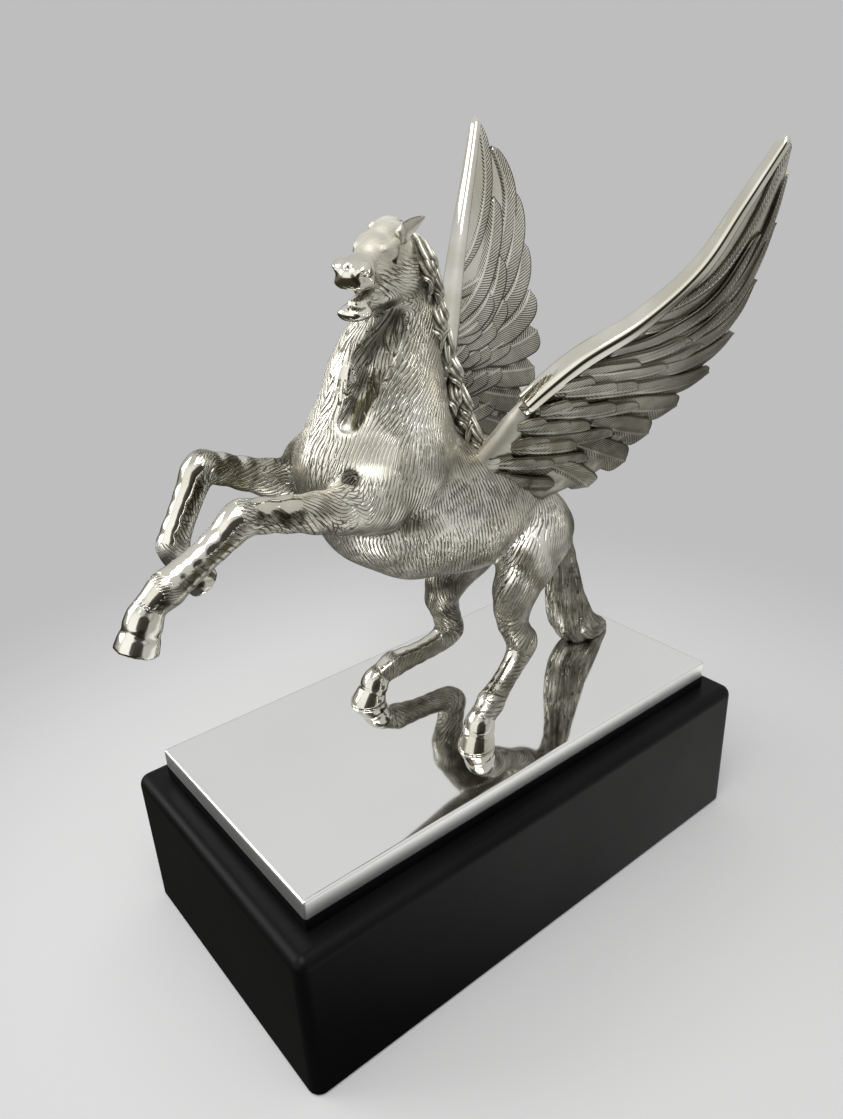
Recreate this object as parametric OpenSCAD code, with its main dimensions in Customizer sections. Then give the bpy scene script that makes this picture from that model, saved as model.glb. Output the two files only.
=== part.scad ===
// Figure trophy: a rearing winged horse, cast in sections and plated, standing on
// a folded metal plate over a black board and a black plinth.
// Millimetres. The origin is the centre of the base, on the surface it stands on.
// +Z is up, X runs along the long side, the horse faces -X and its left side is -Y.

/* [Plinth] */
// Length of the plinth
plinth_l = 200; // [160:1:260]
// Width of the plinth
plinth_w = 109; // [90:1:150]
// Height of the plinth
plinth_h = 55; // [35:1:90]
// Radius of the plinth's rounded edges
plinth_edge = 4; // [1:0.5:8]
// Height of the small bevel round the plinth's bottom edge
foot_edge = 1; // [0.4:0.2:1.6]

/* [Felt] */
// Thickness of the felt sheet under the plinth
felt_t = 1.5; // [1:0.1:3]
// Depth of the shallow pocket that the felt is glued into
felt_pocket = 1; // [0.4:0.1:2]
// Rim of plinth left around the felt
felt_rim = 7; // [5:0.5:12]
// Gap between the felt and the wall of its pocket
felt_gap = 0.3; // [0.1:0.1:1]

/* [Board] */
// Height of the black board's edge that shows under the plate
board_band = 4.5; // [2:0.5:10]
// Gap between the board's tongue and the inside of the plate's skirt
board_gap = 0.2; // [0.1:0.05:0.6]

/* [Plate] */
// How far the plate stands back from the plinth's sides
plate_margin = 8.7; // [4:0.1:16]
// Height of the plate with its folded skirt
plate_h = 6.5; // [4:0.5:12]
// Thickness of the plate's metal
plate_t = 1.2; // [0.8:0.1:2]
// Radius of the plate's folded edges
plate_edge = 1; // [0.4:0.1:1.4]

/* [Fixings] */
// Diameter of the threaded studs
stud_d = 4; // [3:0.5:6]
// How far a stud goes into the casting it holds
stud_grip = 6; // [3:0.5:8]
// Clearance on the diameter of the holes that a stud passes through
stud_clearance = 0.5; // [0.2:0.1:1]
// Clearance on the diameter where a stud screws in
thread_clearance = 0.1; // [0.05:0.05:0.3]
// How far a stud stands out below its nut
stud_spare = 3; // [1:0.5:6]
// Width of a nut across its flats
nut_flats = 7; // [6:0.5:10]
// Height of a nut
nut_h = 3.2; // [2:0.1:5]
// Outside diameter of a washer
washer_d = 12; // [9:0.5:15]
// Thickness of a washer
washer_t = 1; // [0.5:0.1:2]
// Diameter of the counterbore that hides a nut and washer
counterbore_d = 16; // [14:0.5:22]
// Depth of the counterbore above the felt pocket
counterbore_h = 12; // [9:0.5:25]

/* [Horse] */
// Size of the figure, where 1 puts the left wing's tip 186 mm above the plate
figure_scale = 1; // [0.8:0.05:1.2]
// Girth of the legs and tail, where 1 is as cast
limb_girth = 1; // [0.85:0.05:1.15]
// Gap between a limb or wing and the socket it is brazed into
seam_gap = 0.1; // [0.05:0.05:0.3]
// How far the jaws are open
mouth_gap = 3; // [1:0.5:4]

/* [Wings] */
// Radius of the polished bar along a wing's leading edge
wing_bar = 2.5; // [1.5:0.1:3.5]
// Thickness of the wing's blade behind the bar
wing_t = 1.8; // [1.2:0.1:3]
// Thickness of a feather
feather_t = 1.6; // [1:0.1:2.5]
// Angle that the right wing is raised over the left
right_wing_raise = 6; // [0:1:10]
// Angle that the right wing is swung back from the left
right_wing_swing = 5; // [0:1:8]
// Length of the right wing against the left
right_wing_size = 1.07; // [0.95:0.01:1.1]

/* [Hidden] */

PLATED = [0.80, 0.79, 0.74];
BLACK = [0.07, 0.07, 0.07];

// Heights up the base
plinth_z = felt_t - felt_pocket;
plinth_top = plinth_h;
plate_z = plinth_top + board_band;
plate_top = plate_z + plate_h;
pocket_z = felt_t;
seat_z = pocket_z + counterbore_h;
nut_z = seat_z - washer_t - nut_h;
stud_z = nut_z - stud_spare;

plate_l = plinth_l - 2 * plate_margin;
plate_w = plinth_w - 2 * plate_margin;
tongue_l = plate_l - 2 * (plate_t + board_gap);
tongue_w = plate_w - 2 * (plate_t + board_gap);
tongue_z = plate_top - plate_t;
hole_d = stud_d + stud_clearance;
thread_d = stud_d + thread_clearance;

// Limbs are lists of [x, y, z, half depth, half width], measured on the figure
// from the centre of the plate's top.
LEFT_FORELEG = [[-24, -9, 96, 8, 6], [-34, -13, 95, 10.5, 9], [-48, -16, 95, 6.8, 6],
                [-66, -17, 99.5, 4.9, 4.5], [-79.5, -18, 102.6, 4.5, 4.2],
                [-93, -18, 95, 3.8, 3.6], [-102, -18, 90.6, 4.3, 4.1],
                [-106.3, -18, 88, 3.6, 3.6], [-109, -18, 84.8, 4.9, 4.9],
                [-113.4, -18, 76.4, 6, 5.8]];
RIGHT_FORELEG = [[-24, 9, 96, 8, 6], [-34, 13, 95, 10.5, 9], [-46, 15, 95.5, 6.8, 6],
                 [-61, 16, 101.3, 4.8, 4.5], [-73.3, 16, 106.3, 4.4, 4.2],
                 [-81.6, 16, 95, 3.6, 3.5], [-86, 16, 86, 4.2, 4],
                 [-84.8, 16, 81, 3.5, 3.5], [-82.6, 16, 77, 4.5, 4.5],
                 [-78.2, 16, 70.9, 5.5, 5.4]];
LEFT_HIND_LEG = [[41, -7, 64, 8, 5], [34, -11.5, 60, 13, 10], [16.5, -18, 47.5, 8.4, 6.8],
                 [15, -19, 36, 5.2, 4.6], [19, -19.5, 27, 4.9, 4.3],
                 [7, -22, 17, 3.6, 3.5], [-1, -24, 13, 4.3, 4.1],
                 [-5.3, -25, 9.8, 3.8, 3.8], [-7.5, -25, 5, 6, 5.8],
                 [-8.5, -25, -2, 6.9, 6.8]];
RIGHT_HIND_LEG = [[41, 7, 64, 8, 5], [34, 11.5, 60, 13, 10], [14, 16, 39, 7.8, 6.6],
                  [14.8, 18, 28, 5.5, 4.9], [17.5, 19, 16.5, 5, 4.6],
                  [1.5, 19, 12.4, 3.8, 3.7], [-9.3, 20, 11.8, 4.4, 4.2],
                  [-15, 20, 9.6, 3.8, 3.8], [-19, 21, 5, 5.8, 5.7],
                  [-20.5, 21.5, -2, 6.9, 6.8]];
TAIL = [[44, 0, 58, 4, 4], [55, 0, 53, 5, 4.6], [59.5, 0, 36, 5.8, 5.2],
        [61.5, 0, 22, 7.8, 7.2], [66, 0, 10, 8.6, 8.2], [75, 0, 3.4, 5.4, 6.4],
        [86, 0, 0.5, 1.8, 2.4]];
LEFT_HOOF = [-8.5, -25];
RIGHT_HOOF = [-20.5, 21.5];
TAIL_FOOT = [69, 0];

// The trunk, neck and head are made of swellings from one ball to the next:
// [start, end, radius at start, radius at end, width against depth at each].
TRUNK = [[[-22, 0, 90], [12, 0, 77], 24, 22, 0.8, 0.8],
         [[-10, 0, 77], [20, 0, 70], 21, 17, 0.72, 0.7],
         [[12, 0, 78], [34, 0, 68], 20, 16, 0.82, 0.85],
         [[36, -6, 62], [43, -5, 59], 13, 11.5, 1, 1],
         [[36, 6, 62], [43, 5, 59], 13, 11.5, 1, 1],
         [[-30, 0, 104], [-38, 0, 100], 15, 13, 1, 1],
         [[-22, -10, 100], [-36, -11, 95], 13, 10.5, 1, 1],
         [[-22, 10, 101], [-37, 13, 98], 14, 11.5, 1, 1]];
NECK = [[[-22, 0, 106], [-19, 0, 124], 24, 17.2, 0.75, 0.74],
        [[-19, 0, 124], [-14, 0, 139], 17.2, 11.8, 0.74, 0.72],
        [[-14, 0, 139], [-12, -1, 151], 11.8, 9.4, 0.72, 0.72],
        [[-5, 0, 116], [-6, 0, 139], 11, 8, 0.45, 0.5],
        [[-6, 0, 139], [-9, -1, 158], 8, 6, 0.5, 0.5]];
// The head's swellings are measured forward, left and up from the middle of the skull
HEAD_AT = [-17.6, -3.4, 159.3];
HEAD_TURN = [-7, 4.9, 207.3];
head_size = 1.08;
HEAD = [[[-1.5, 0, 0.2], [8, 0, 0], 6.9, 6, 0.8, 0.8],
        [[8, 0, -1], [18, 0, -0.9], 5.8, 4, 0.84, 0.9],
        [[17, 0, -1], [20.9, 0, -0.8], 3.8, 3.4, 1.15, 1.3],
        [[0, 2.6, -6], [6.5, 2.4, -6.4], 6, 4.4, 1, 1],
        [[0, -2.6, -6], [6.5, -2.4, -6.4], 6, 4.4, 1, 1],
        [[5, 0, -8], [17, 0, -9.8], 3.4, 2.3, 1.15, 1.3],
        [[18, 0, -10], [21.8, 0, -9.9], 2.1, 1.8, 2, 2],
        [[-2.5, -1.2, 4.2], [2.2, -1, 4.2], 4.6, 4, 1, 1],
        [[2.6, 4.2, 4.8], [-8.4, 6.2, 8.2], 2.9, 0.8, 1, 1],
        [[1, -4.4, 4.6], [-6.5, -4.6, 6.2], 2.6, 0.8, 1, 1]];
MANE_TOP = [-8, -1, 161];
MANE_FOOT = [5, 0, 112];
MANE_LOCKS = 9;

// A wing's leading and trailing edges, from the root to the tip, on the left side
LEADING = [[4, -9, 92], [10, -14, 102], [17, -20, 113], [29, -30, 126], [43, -42, 137],
           [56, -52, 151], [65.5, -58, 167], [75.5, -64.3, 185.3]];
TRAILING = [[38, -14, 73], [56, -24, 81], [67, -27, 91], [78, -31, 100.5],
            [87, -38, 113], [89, -46, 130], [88, -55, 158], [78, -64.3, 182]];
WING_ROOT = [17, -16, 106];
blade_part = 0.8; // share of the chord that is solid blade, with feathers beyond it
FLIGHTS = 11;
COVERTS = 7;
rise = [0, 0, plate_top];

function unit(v) = v / norm(v);
function place(s) = [s[0], s[1], s[2]];
function spline(a, b, c, d, t) =
    0.5 * (2 * b + (c - a) * t + (2 * a - 5 * b + 4 * c - d) * t * t
           + (3 * b - a - 3 * c + d) * t * t * t);
// Point at t, from 0 to 1, along a smooth curve through a list
function along(list, t) =
    let (last = len(list) - 1, p = min(max(t, 0), 1) * last, i = min(floor(p), last - 1))
    spline(list[max(i - 1, 0)], list[i], list[i + 1], list[min(i + 2, last)], p - i);
// Faces of a skin over equal rings, closed by a fan at each end
function skin(rings, sides) = concat(
    [for (i = [0:rings - 2], k = [0:sides - 1]) let (n = (k + 1) % sides)
        [i * sides + k, (i + 1) * sides + n, i * sides + n]],
    [for (i = [0:rings - 2], k = [0:sides - 1]) let (n = (k + 1) % sides)
        [i * sides + k, (i + 1) * sides + k, (i + 1) * sides + n]],
    [for (k = [1:sides - 2]) [0, k, k + 1]],
    [for (k = [1:sides - 2]) let (e = (rings - 1) * sides) [e, e + k + 1, e + k]]);

// A tapering limb through its stations, grown all round by grow
module limb(stations, grow = 0, rings = 28, sides = 14) {
    curve = [for (i = [0:rings - 1]) along(stations, i / (rings - 1))];
    points = [for (i = [0:rings - 1])
        let (ahead = place(curve[min(i + 1, rings - 1)]), behind = place(curve[max(i - 1, 0)]),
             way = unit(ahead - behind), side = unit([0, 1, 0] - way * way[1]),
             front = cross(side, way))
        for (k = [0:sides - 1])
            figure_scale * (place(curve[i])
                + front * (curve[i][3] * limb_girth + grow) * cos(360 * k / sides)
                + side * (curve[i][4] * limb_girth + grow) * sin(360 * k / sides))];
    polyhedron(points, skin(rings, sides), convexity = 8);
}

function ball_sides(r) = r > 6 ? 24 : r > 2 ? 14 : 8;

// A swelling from one ball to another, narrowed across the figure
module swelling(s) {
    hull() {
        translate(s[0]) scale([1, s[4], 1]) sphere(r = s[2], $fn = ball_sides(s[2]));
        translate(s[1]) scale([1, s[5], 1]) sphere(r = s[3], $fn = ball_sides(s[3]));
    }
}

module mane_lock(i) {
    t = i / (MANE_LOCKS - 1);
    top = MANE_TOP + (MANE_FOOT - MANE_TOP) * t;
    side = i % 2 == 0 ? -1 : 1;
    hull() {
        translate(top + [-3, 0, 3]) sphere(r = 3.4, $fn = 10);
        translate(top + [2, 2.5 * side, -3]) sphere(r = 2.2, $fn = 10);
        translate(top + [3, 3.5 * side, -8]) sphere(r = 0.8, $fn = 10);
    }
}

// Point of a wing's sheet: u from root to tip, v from leading to trailing edge
function sheet(u, v) = along(LEADING, u) * (1 - v) + along(TRAILING, u) * v;

// The bar and blade of a left wing
module wing_blade(grow = 0, rings = 24) {
    bar = wing_bar + grow;
    half = wing_t / 2 + grow;
    bow = [for (a = [60:30:300]) [wing_bar + bar * cos(a), bar * sin(a)]];
    points = [for (i = [0:rings - 1])
        let (u = i / (rings - 1), lead = along(LEADING, u), chord = along(TRAILING, u) - lead,
             back = unit(chord), reach = norm(chord) * blade_part + grow,
             span = unit(along(LEADING, u + 0.02) - along(LEADING, u - 0.02)),
             up = unit(cross(span, back)), taper = 1 - 0.45 * u)
        for (p = concat(bow, [for (c = [0.5, 1]) [max(c * reach, wing_bar * 2.2), -half]],
                        [for (c = [1, 0.5]) [max(c * reach, wing_bar * 2.2), half]]))
            lead + back * p[0] + up * p[1] * taper];
    polyhedron(points, skin(rings, len(bow) + 4), convexity = 8);
}

// A feather of four flat corners and a rounded tip, lying on the wing's sheet
module feather(root_u, root_v, tip_u, tip_v, w, lift) {
    root = sheet(root_u, root_v);
    tip = sheet(tip_u, tip_v);
    mid = sheet((root_u + tip_u) / 2 + 0.01, (root_v + tip_v) / 2);
    out = unit(cross(tip - root, along(LEADING, root_u) - along(TRAILING, root_u)));
    side = unit(cross(out, tip - root));
    for (leg = [[root, w * 0.6, mid, w], [mid, w, tip * 0.85 + mid * 0.15, w * 0.7],
                [tip * 0.85 + mid * 0.15, w * 0.7, tip, w * 0.15]])
        hull()
            for (end = [0, 2], s = [-1, 1])
                translate(leg[end] + side * s * leg[end + 1] + out * lift)
                    sphere(r = feather_t / 2, $fn = 6);
}

module left_wing_casting() {
    scale(figure_scale) {
        wing_blade();
        for (i = [0:FLIGHTS - 1]) {
            t = i / (FLIGHTS - 1);
            feather(0.3 + 0.35 * t, 0.3, 0.16 + 0.8 * t, 0.99, 4.2 - 1.6 * t, 0.2);
        }
        for (i = [0:COVERTS - 1]) {
            t = i / (COVERTS - 1);
            feather(0.2 + 0.3 * t, 0.12, 0.2 + 0.42 * t, 0.6, 3.6, -0.8);
        }
    }
}

// Turns and sizes a left wing's shape into the right wing's
module to_right_wing() {
    root = [WING_ROOT[0], -WING_ROOT[1], WING_ROOT[2]] * figure_scale;
    translate(root) rotate([right_wing_raise, 0, right_wing_swing])
        scale(right_wing_size) translate(-root) mirror([0, 1, 0]) children();
}

module stud_hole(at, from, to, d) {
    translate([at[0] * figure_scale, at[1] * figure_scale, from])
        cylinder(d = d, h = to - from, $fn = 48);
}

// Cuts a casting flat where it stands on the plate, and drills it for its stud
module foot_cuts(at) {
    translate([-300, -300, plate_top - 60]) cube([600, 600, 60]);
    stud_hole(at, plate_top - 1, plate_top + stud_grip + 0.5, thread_d);
}

module all_stud_holes(from, to, d) {
    for (at = [LEFT_HOOF, RIGHT_HOOF, TAIL_FOOT]) stud_hole(at, from, to, d);
}

module box(l, w, h, z) {
    translate([-l / 2, -w / 2, z]) cube([l, w, h]);
}

module rounded_box(l, w, h, z, r, sides) {
    hull()
        for (x = [-1, 1], y = [-1, 1], up = [r, h - r])
            translate([x * (l / 2 - r), y * (w / 2 - r), z + up])
                rotate([90, 0, 0]) sphere(r = r, $fn = sides);
}

// A post at one corner of the plinth, with the bevel at its foot and the rounding on top
module plinth_post() {
    $fn = 32;
    tall = plinth_top - plinth_z;
    cylinder(r1 = plinth_edge - foot_edge, r2 = plinth_edge, h = foot_edge);
    translate([0, 0, foot_edge]) cylinder(r = plinth_edge, h = tall - foot_edge - plinth_edge);
    translate([0, 0, tall - plinth_edge]) sphere(r = plinth_edge);
}

module plinth() {
    color(BLACK) difference() {
        hull() {
            for (x = [-1, 1], y = [-1, 1])
                translate([x * (plinth_l / 2 - plinth_edge), y * (plinth_w / 2 - plinth_edge),
                           plinth_z])
                    plinth_post();
            box(plinth_l - 2 * plinth_edge, plinth_w - 2 * plinth_edge,
                plinth_top - plinth_z - plinth_edge, plinth_z + plinth_edge);
        }
        box(plinth_l - 2 * felt_rim, plinth_w - 2 * felt_rim, felt_pocket + 1,
            pocket_z - felt_pocket - 1);
        all_stud_holes(pocket_z - 1, seat_z, counterbore_d);
        all_stud_holes(pocket_z, plinth_top + 1, hole_d);
    }
}

module felt_pad() {
    inset = felt_rim + felt_gap;
    color([0.10, 0.22, 0.16]) box(plinth_l - 2 * inset, plinth_w - 2 * inset, felt_t, 0);
}

module riser_board() {
    color(BLACK) difference() {
        union() {
            box(plate_l, plate_w, board_band, plinth_top);
            box(tongue_l, tongue_w, tongue_z - plinth_top, plinth_top);
        }
        all_stud_holes(plinth_top - 1, plate_top, hole_d);
    }
}

module top_plate() {
    color(PLATED) difference() {
        rounded_box(plate_l, plate_w, plate_h + 2 * plate_edge, plate_z - 2 * plate_edge,
                    plate_edge, 16);
        box(plate_l + 2, plate_w + 2, 3 * plate_edge, plate_z - 3 * plate_edge);
        box(plate_l - 2 * plate_t, plate_w - 2 * plate_t, plate_h - plate_t + 1, plate_z - 1);
        all_stud_holes(plate_z, plate_top + 1, hole_d);
    }
}

module torso() {
    color(PLATED) translate(rise) difference() {
        scale(figure_scale) {
            for (s = concat(TRUNK, NECK)) swelling(s);
            on_head() for (s = HEAD) swelling(s);
            for (i = [0:MANE_LOCKS - 1]) mane_lock(i);
        }
        mouth();
        for (leg = [LEFT_FORELEG, RIGHT_FORELEG, LEFT_HIND_LEG, RIGHT_HIND_LEG, TAIL])
            limb(leg, seam_gap);
        scale(figure_scale) wing_blade(seam_gap);
        to_right_wing() scale(figure_scale) wing_blade(seam_gap);
    }
}

module on_head() {
    translate(HEAD_AT) rotate(HEAD_TURN) scale(head_size) children();
}

// The wedge between the jaws
module mouth() {
    scale(figure_scale) on_head() hull() {
        translate([11, 0, -5.6]) scale([1, 4, 1]) sphere(r = 0.6, $fn = 12);
        translate([25, 0, -5.6]) scale([1, 4, 1]) sphere(r = mouth_gap / 2, $fn = 12);
    }
}

module left_foreleg() { color(PLATED) translate(rise) limb(LEFT_FORELEG); }
module right_foreleg() { color(PLATED) translate(rise) limb(RIGHT_FORELEG); }

module left_hind_leg() {
    color(PLATED) difference() {
        translate(rise) limb(LEFT_HIND_LEG);
        foot_cuts(LEFT_HOOF);
    }
}

module right_hind_leg() {
    color(PLATED) difference() {
        translate(rise) limb(RIGHT_HIND_LEG);
        foot_cuts(RIGHT_HOOF);
    }
}

module tail() {
    color(PLATED) difference() {
        translate(rise) limb(TAIL);
        foot_cuts(TAIL_FOOT);
    }
}

module left_wing() { color(PLATED) translate(rise) left_wing_casting(); }
module right_wing() { color(PLATED) translate(rise) to_right_wing() left_wing_casting(); }

module stud(at) { color([0.72, 0.70, 0.62]) stud_hole(at, stud_z, plate_top + stud_grip, stud_d); }
module left_hoof_stud() { stud(LEFT_HOOF); }
module right_hoof_stud() { stud(RIGHT_HOOF); }
module tail_stud() { stud(TAIL_FOOT); }

module stud_washers() {
    color([0.72, 0.72, 0.72]) difference() {
        all_stud_holes(seat_z - washer_t, seat_z, washer_d);
        all_stud_holes(seat_z - washer_t - 1, seat_z + 1, hole_d);
    }
}

module stud_nuts() {
    color([0.72, 0.70, 0.62])
        for (at = [LEFT_HOOF, RIGHT_HOOF, TAIL_FOOT])
            difference() {
                translate([at[0] * figure_scale, at[1] * figure_scale, nut_z])
                    cylinder(d = nut_flats / cos(30), h = nut_h, $fn = 6);
                stud_hole(at, nut_z - 1, nut_z + nut_h + 1, thread_d);
            }
}

plinth();
felt_pad();
riser_board();
top_plate();
torso();
left_foreleg();
right_foreleg();
left_hind_leg();
right_hind_leg();
tail();
left_wing();
right_wing();
left_hoof_stud();
right_hoof_stud();
tail_stud();
stud_washers();
stud_nuts();
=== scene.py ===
"""Looks of the figure trophy: a plated, chased winged horse on a mirror plate and a black plinth.

Lengths in the tables are millimetres on the figure, measured from the centre of the plate's
top, as in the CAD source. The horse faces -X and its left side is -Y.
"""
import math

import bmesh
import bpy
import numpy as np
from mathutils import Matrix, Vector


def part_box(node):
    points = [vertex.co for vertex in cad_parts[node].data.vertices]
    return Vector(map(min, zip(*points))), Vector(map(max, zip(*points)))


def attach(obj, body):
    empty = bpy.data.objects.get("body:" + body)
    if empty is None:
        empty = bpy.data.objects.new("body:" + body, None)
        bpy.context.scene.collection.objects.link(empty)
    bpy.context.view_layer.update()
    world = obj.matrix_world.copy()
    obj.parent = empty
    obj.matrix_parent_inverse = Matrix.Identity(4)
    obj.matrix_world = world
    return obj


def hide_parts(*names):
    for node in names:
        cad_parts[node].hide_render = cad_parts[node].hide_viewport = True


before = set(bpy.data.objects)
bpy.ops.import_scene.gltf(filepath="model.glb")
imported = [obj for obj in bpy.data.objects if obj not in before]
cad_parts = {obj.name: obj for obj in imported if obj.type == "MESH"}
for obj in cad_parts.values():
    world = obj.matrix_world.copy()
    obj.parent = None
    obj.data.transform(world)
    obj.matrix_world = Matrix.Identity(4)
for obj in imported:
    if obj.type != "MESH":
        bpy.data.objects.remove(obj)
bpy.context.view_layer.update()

import openvdb
from mathutils import Matrix, Vector

MM = 0.001
PLATE_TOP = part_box("top_plate")[1].z / MM
VOXEL = 0.5


def both(start, end, *rest):
    """A swelling and its mirror image on the horse's other side."""
    across = [(x, -y, z) for x, y, z in (start, end)]
    return [[start, end, *rest], [*across, *rest]]


# ---------------------------------------------------------------- the horse's skeleton
# A swelling is [start, end, radius at start, radius at end, width against depth, softness].
TRUNK = [
    [(-22, 0, 89), (10, 0, 76), 24, 22, 0.80, 6],
    [(-10, 0, 77), (20, 0, 70), 20, 17, 0.72, 6],
    [(12, 0, 78), (34, 0, 68), 20, 16, 0.82, 6],
    *both((36, -6, 62), (43, -5, 59), 13, 11.5, 1.0, 5),
    [(-30, 0, 104), (-38, 0, 100), 15, 13, 1.0, 6],
    [(-22, -10, 100), (-36, -11, 95), 13, 10.5, 1.0, 4],
    [(-22, 10, 101), (-37, 13, 98), 14, 11.5, 1.0, 4],
]
NECK = [
    [(-22, 0, 106), (-19, 0, 124), 24, 17.2, 0.74, 6],
    [(-19, 0, 124), (-14, 0, 139), 17.2, 11.8, 0.72, 5],
    [(-14, 0, 139), (-12, -1, 151), 11.8, 9.4, 0.72, 4],
    [(-6, 0, 112), (-6, 0, 139), 10.5, 8, 0.45, 4],
    [(-6, 0, 139), (-9, -1, 158), 8, 6, 0.5, 4],
]
# Limb stations are [x, y, z, half depth, half width].
LEGS = {
    "left_foreleg": [
        (-24, -9, 96, 8, 6), (-34, -13, 95, 10.5, 9), (-48, -16, 95, 6.8, 6),
        (-66, -17, 99.5, 4.9, 4.5), (-79.5, -18, 102.6, 4.5, 4.2), (-84, -18, 100.0, 4.1, 3.9),
        (-93, -18, 95.0, 3.8, 3.6), (-102, -18, 90.6, 4.3, 4.1), (-106.3, -18, 88.0, 3.5, 3.5)],
    "right_foreleg": [
        (-24, 9, 96, 8, 6), (-34, 13, 95, 10.5, 9), (-46, 15, 95.5, 6.8, 6),
        (-61, 16, 101.3, 4.8, 4.5), (-73.3, 16, 106.5, 4.4, 4.2), (-77, 16, 102.3, 4.0, 3.9),
        (-81.6, 16, 95, 3.6, 3.5), (-86.0, 16, 86, 4.2, 4.0), (-84.8, 16, 81, 3.4, 3.4)],
    "left_hind_leg": [
        (41, -7, 64, 8, 5), (34, -11.5, 60, 13, 10), (17, -18, 48, 8.4, 6.8),
        (14.5, -19, 36, 5.2, 4.6), (18.5, -19.5, 27, 4.9, 4.3), (14.5, -20.5, 22, 3.9, 3.7),
        (7, -22, 17, 3.6, 3.5), (-1, -24, 13, 4.3, 4.1), (-5, -25, 10.2, 3.6, 3.6)],
    "right_hind_leg": [
        (41, 7, 64, 8, 5), (34, 11.5, 60, 13, 10), (14, 16, 39, 7.8, 6.6),
        (14.5, 18, 28, 5.5, 4.9), (17.5, 19, 17, 5.0, 4.6), (12, 19, 13.6, 4.2, 4.0),
        (1.5, 19, 12.4, 3.8, 3.7), (-9.3, 20, 11.7, 4.4, 4.2), (-14.4, 20, 9.9, 3.6, 3.6)],
}
# A hoof is [coronet centre, sole centre, radius at the coronet, radius at the sole].
HOOVES = {
    "left_foreleg": [(-109.0, -18, 85.0), (-112.8, -18, 76.8), 4.8, 5.9],
    "right_foreleg": [(-82.8, 16, 77.4), (-78.6, 16, 71.4), 4.4, 5.4],
    "left_hind_leg": [(-7.0, -25, 7.8), (-8.9, -25.4, -0.1), 5.3, 6.7],
    "right_hind_leg": [(-17.4, 20.6, 7.6), (-20.6, 21.4, -0.1), 5.2, 6.7],
}
TAIL = [(44, 0, 58, 4, 4), (55, 0, 53, 5, 4.6), (59.5, 0, 36, 5.8, 5.2), (61.5, 0, 22, 7.6, 7.0),
        (66, 0, 10, 8.4, 8.0), (75, 0, 3.6, 5.4, 6.2), (85, 0, 1.2, 1.5, 2.2)]
HEAD_AT, HEAD_WAY, HEAD_ROLL, HEAD_SIZE = (-17.6, -3.4, 159.3), (-19.5, -10.1, -1.9), -7.0, 1.08
# Nothing further from the skull's middle than this counts as the head
HEAD_REACH = 34
# Head swellings, in [forward, left, up] from the middle of the skull
HEAD = [
    [(-1.5, 0, 0.2), (8, 0, 0), 6.9, 6.0, 0.80, 3],
    [(8, 0, -1.0), (18, 0, -0.9), 5.8, 4.0, 0.84, 3],
    [(17, 0, -1.0), (20.9, 0, -0.8), 3.8, 3.2, 1.18, 2],
    *both((0, 2.6, -6), (6.5, 2.4, -6.4), 6.0, 4.4, 1.0, 2.5),
    [(5, 0, -8.0), (17, 0, -9.8), 3.4, 2.3, 1.15, 2],
    [(18, 0, -10.0), (21.8, 0, -9.9), 2.1, 1.8, 2.0, 1.4],
    [(-2.5, -1.2, 4.2), (2.2, -1.0, 4.2), 4.5, 3.8, 1.0, 2.5],
    [(18.5, 0, -2.5), (22.2, 0, -2.5), 1.7, 1.4, 2.9, 1.2],
    *both((20.3, 3.2, 1.1), (21.9, 3.5, 0.7), 1.9, 1.5, 1.0, 0.9),
    *both((5.6, 4.2, 4.2), (10.2, 4.0, 3.4), 1.6, 1.1, 1.0, 1.2),
    *both((7.8, 4.6, 2.0), (8.4, 4.6, 2.0), 1.6, 1.5, 1.0, 0.5),
    *both((11, 3.6, -2.8), (18, 3.2, -2.6), 0.9, 0.7, 1.0, 1.5),
]
# Cut from the head: the mouth, the nostrils, the eyelids' line, the hollows before the eyes and
# the notch between the nostrils
HEAD_CUTS = [
    [(12, 0, -5.6), (26, 0, -5.5), 0.4, 1.5, 3.2, 0.6],
    [(17, 0, -5.0), (24, 0, -5.0), 0.8, 1.5, 2.2, 0.4],
    *both((22.2, 4.1, 0.1), (23.8, 5.6, 0.4), 0.95, 0.9, 1.0, 0.4),
    *both((5.6, 5.6, 0.6), (10.2, 5.2, 0.5), 0.5, 0.5, 1.0, 0.5),
    *both((11.5, 5.0, 2.2), (15, 4.6, 0.4), 0.7, 0.9, 1.0, 1.5),
    [(22.2, 0, 1.8), (22.8, 0, -1.2), 0.55, 0.45, 1.0, 0.8],
]
TONGUE = [(15, 0, -7.4), (20.2, 0, -7.4), 1.0, 0.75, 2.4, 0.6]
# Muscles, in the same form as the trunk, laid over it with a tight seam
SHOULDERS = [
    *both((-27, -13, 101), (-33, -16, 91), 8.5, 6.5, 0.8, 1.6),
    *both((-39, -5.5, 99), (-40, -6, 93), 8.5, 7, 0.9, 1.4),
]
MUSCLES = SHOULDERS + [
    [(26, -15.5, 57), (19, -17.5, 50), 8.5, 7, 0.75, 1.6],
    [(26, 15.5, 57), (17, 16.5, 46), 8.5, 7, 0.75, 1.6],
    *both((-22, -8.5, 114), (-17, -7, 137), 9.5, 6, 0.75, 1.8),
    [(-35, 1.5, 114), (-23, 0.5, 143), 8, 4.0, 0.75, 1.4],
]
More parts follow.
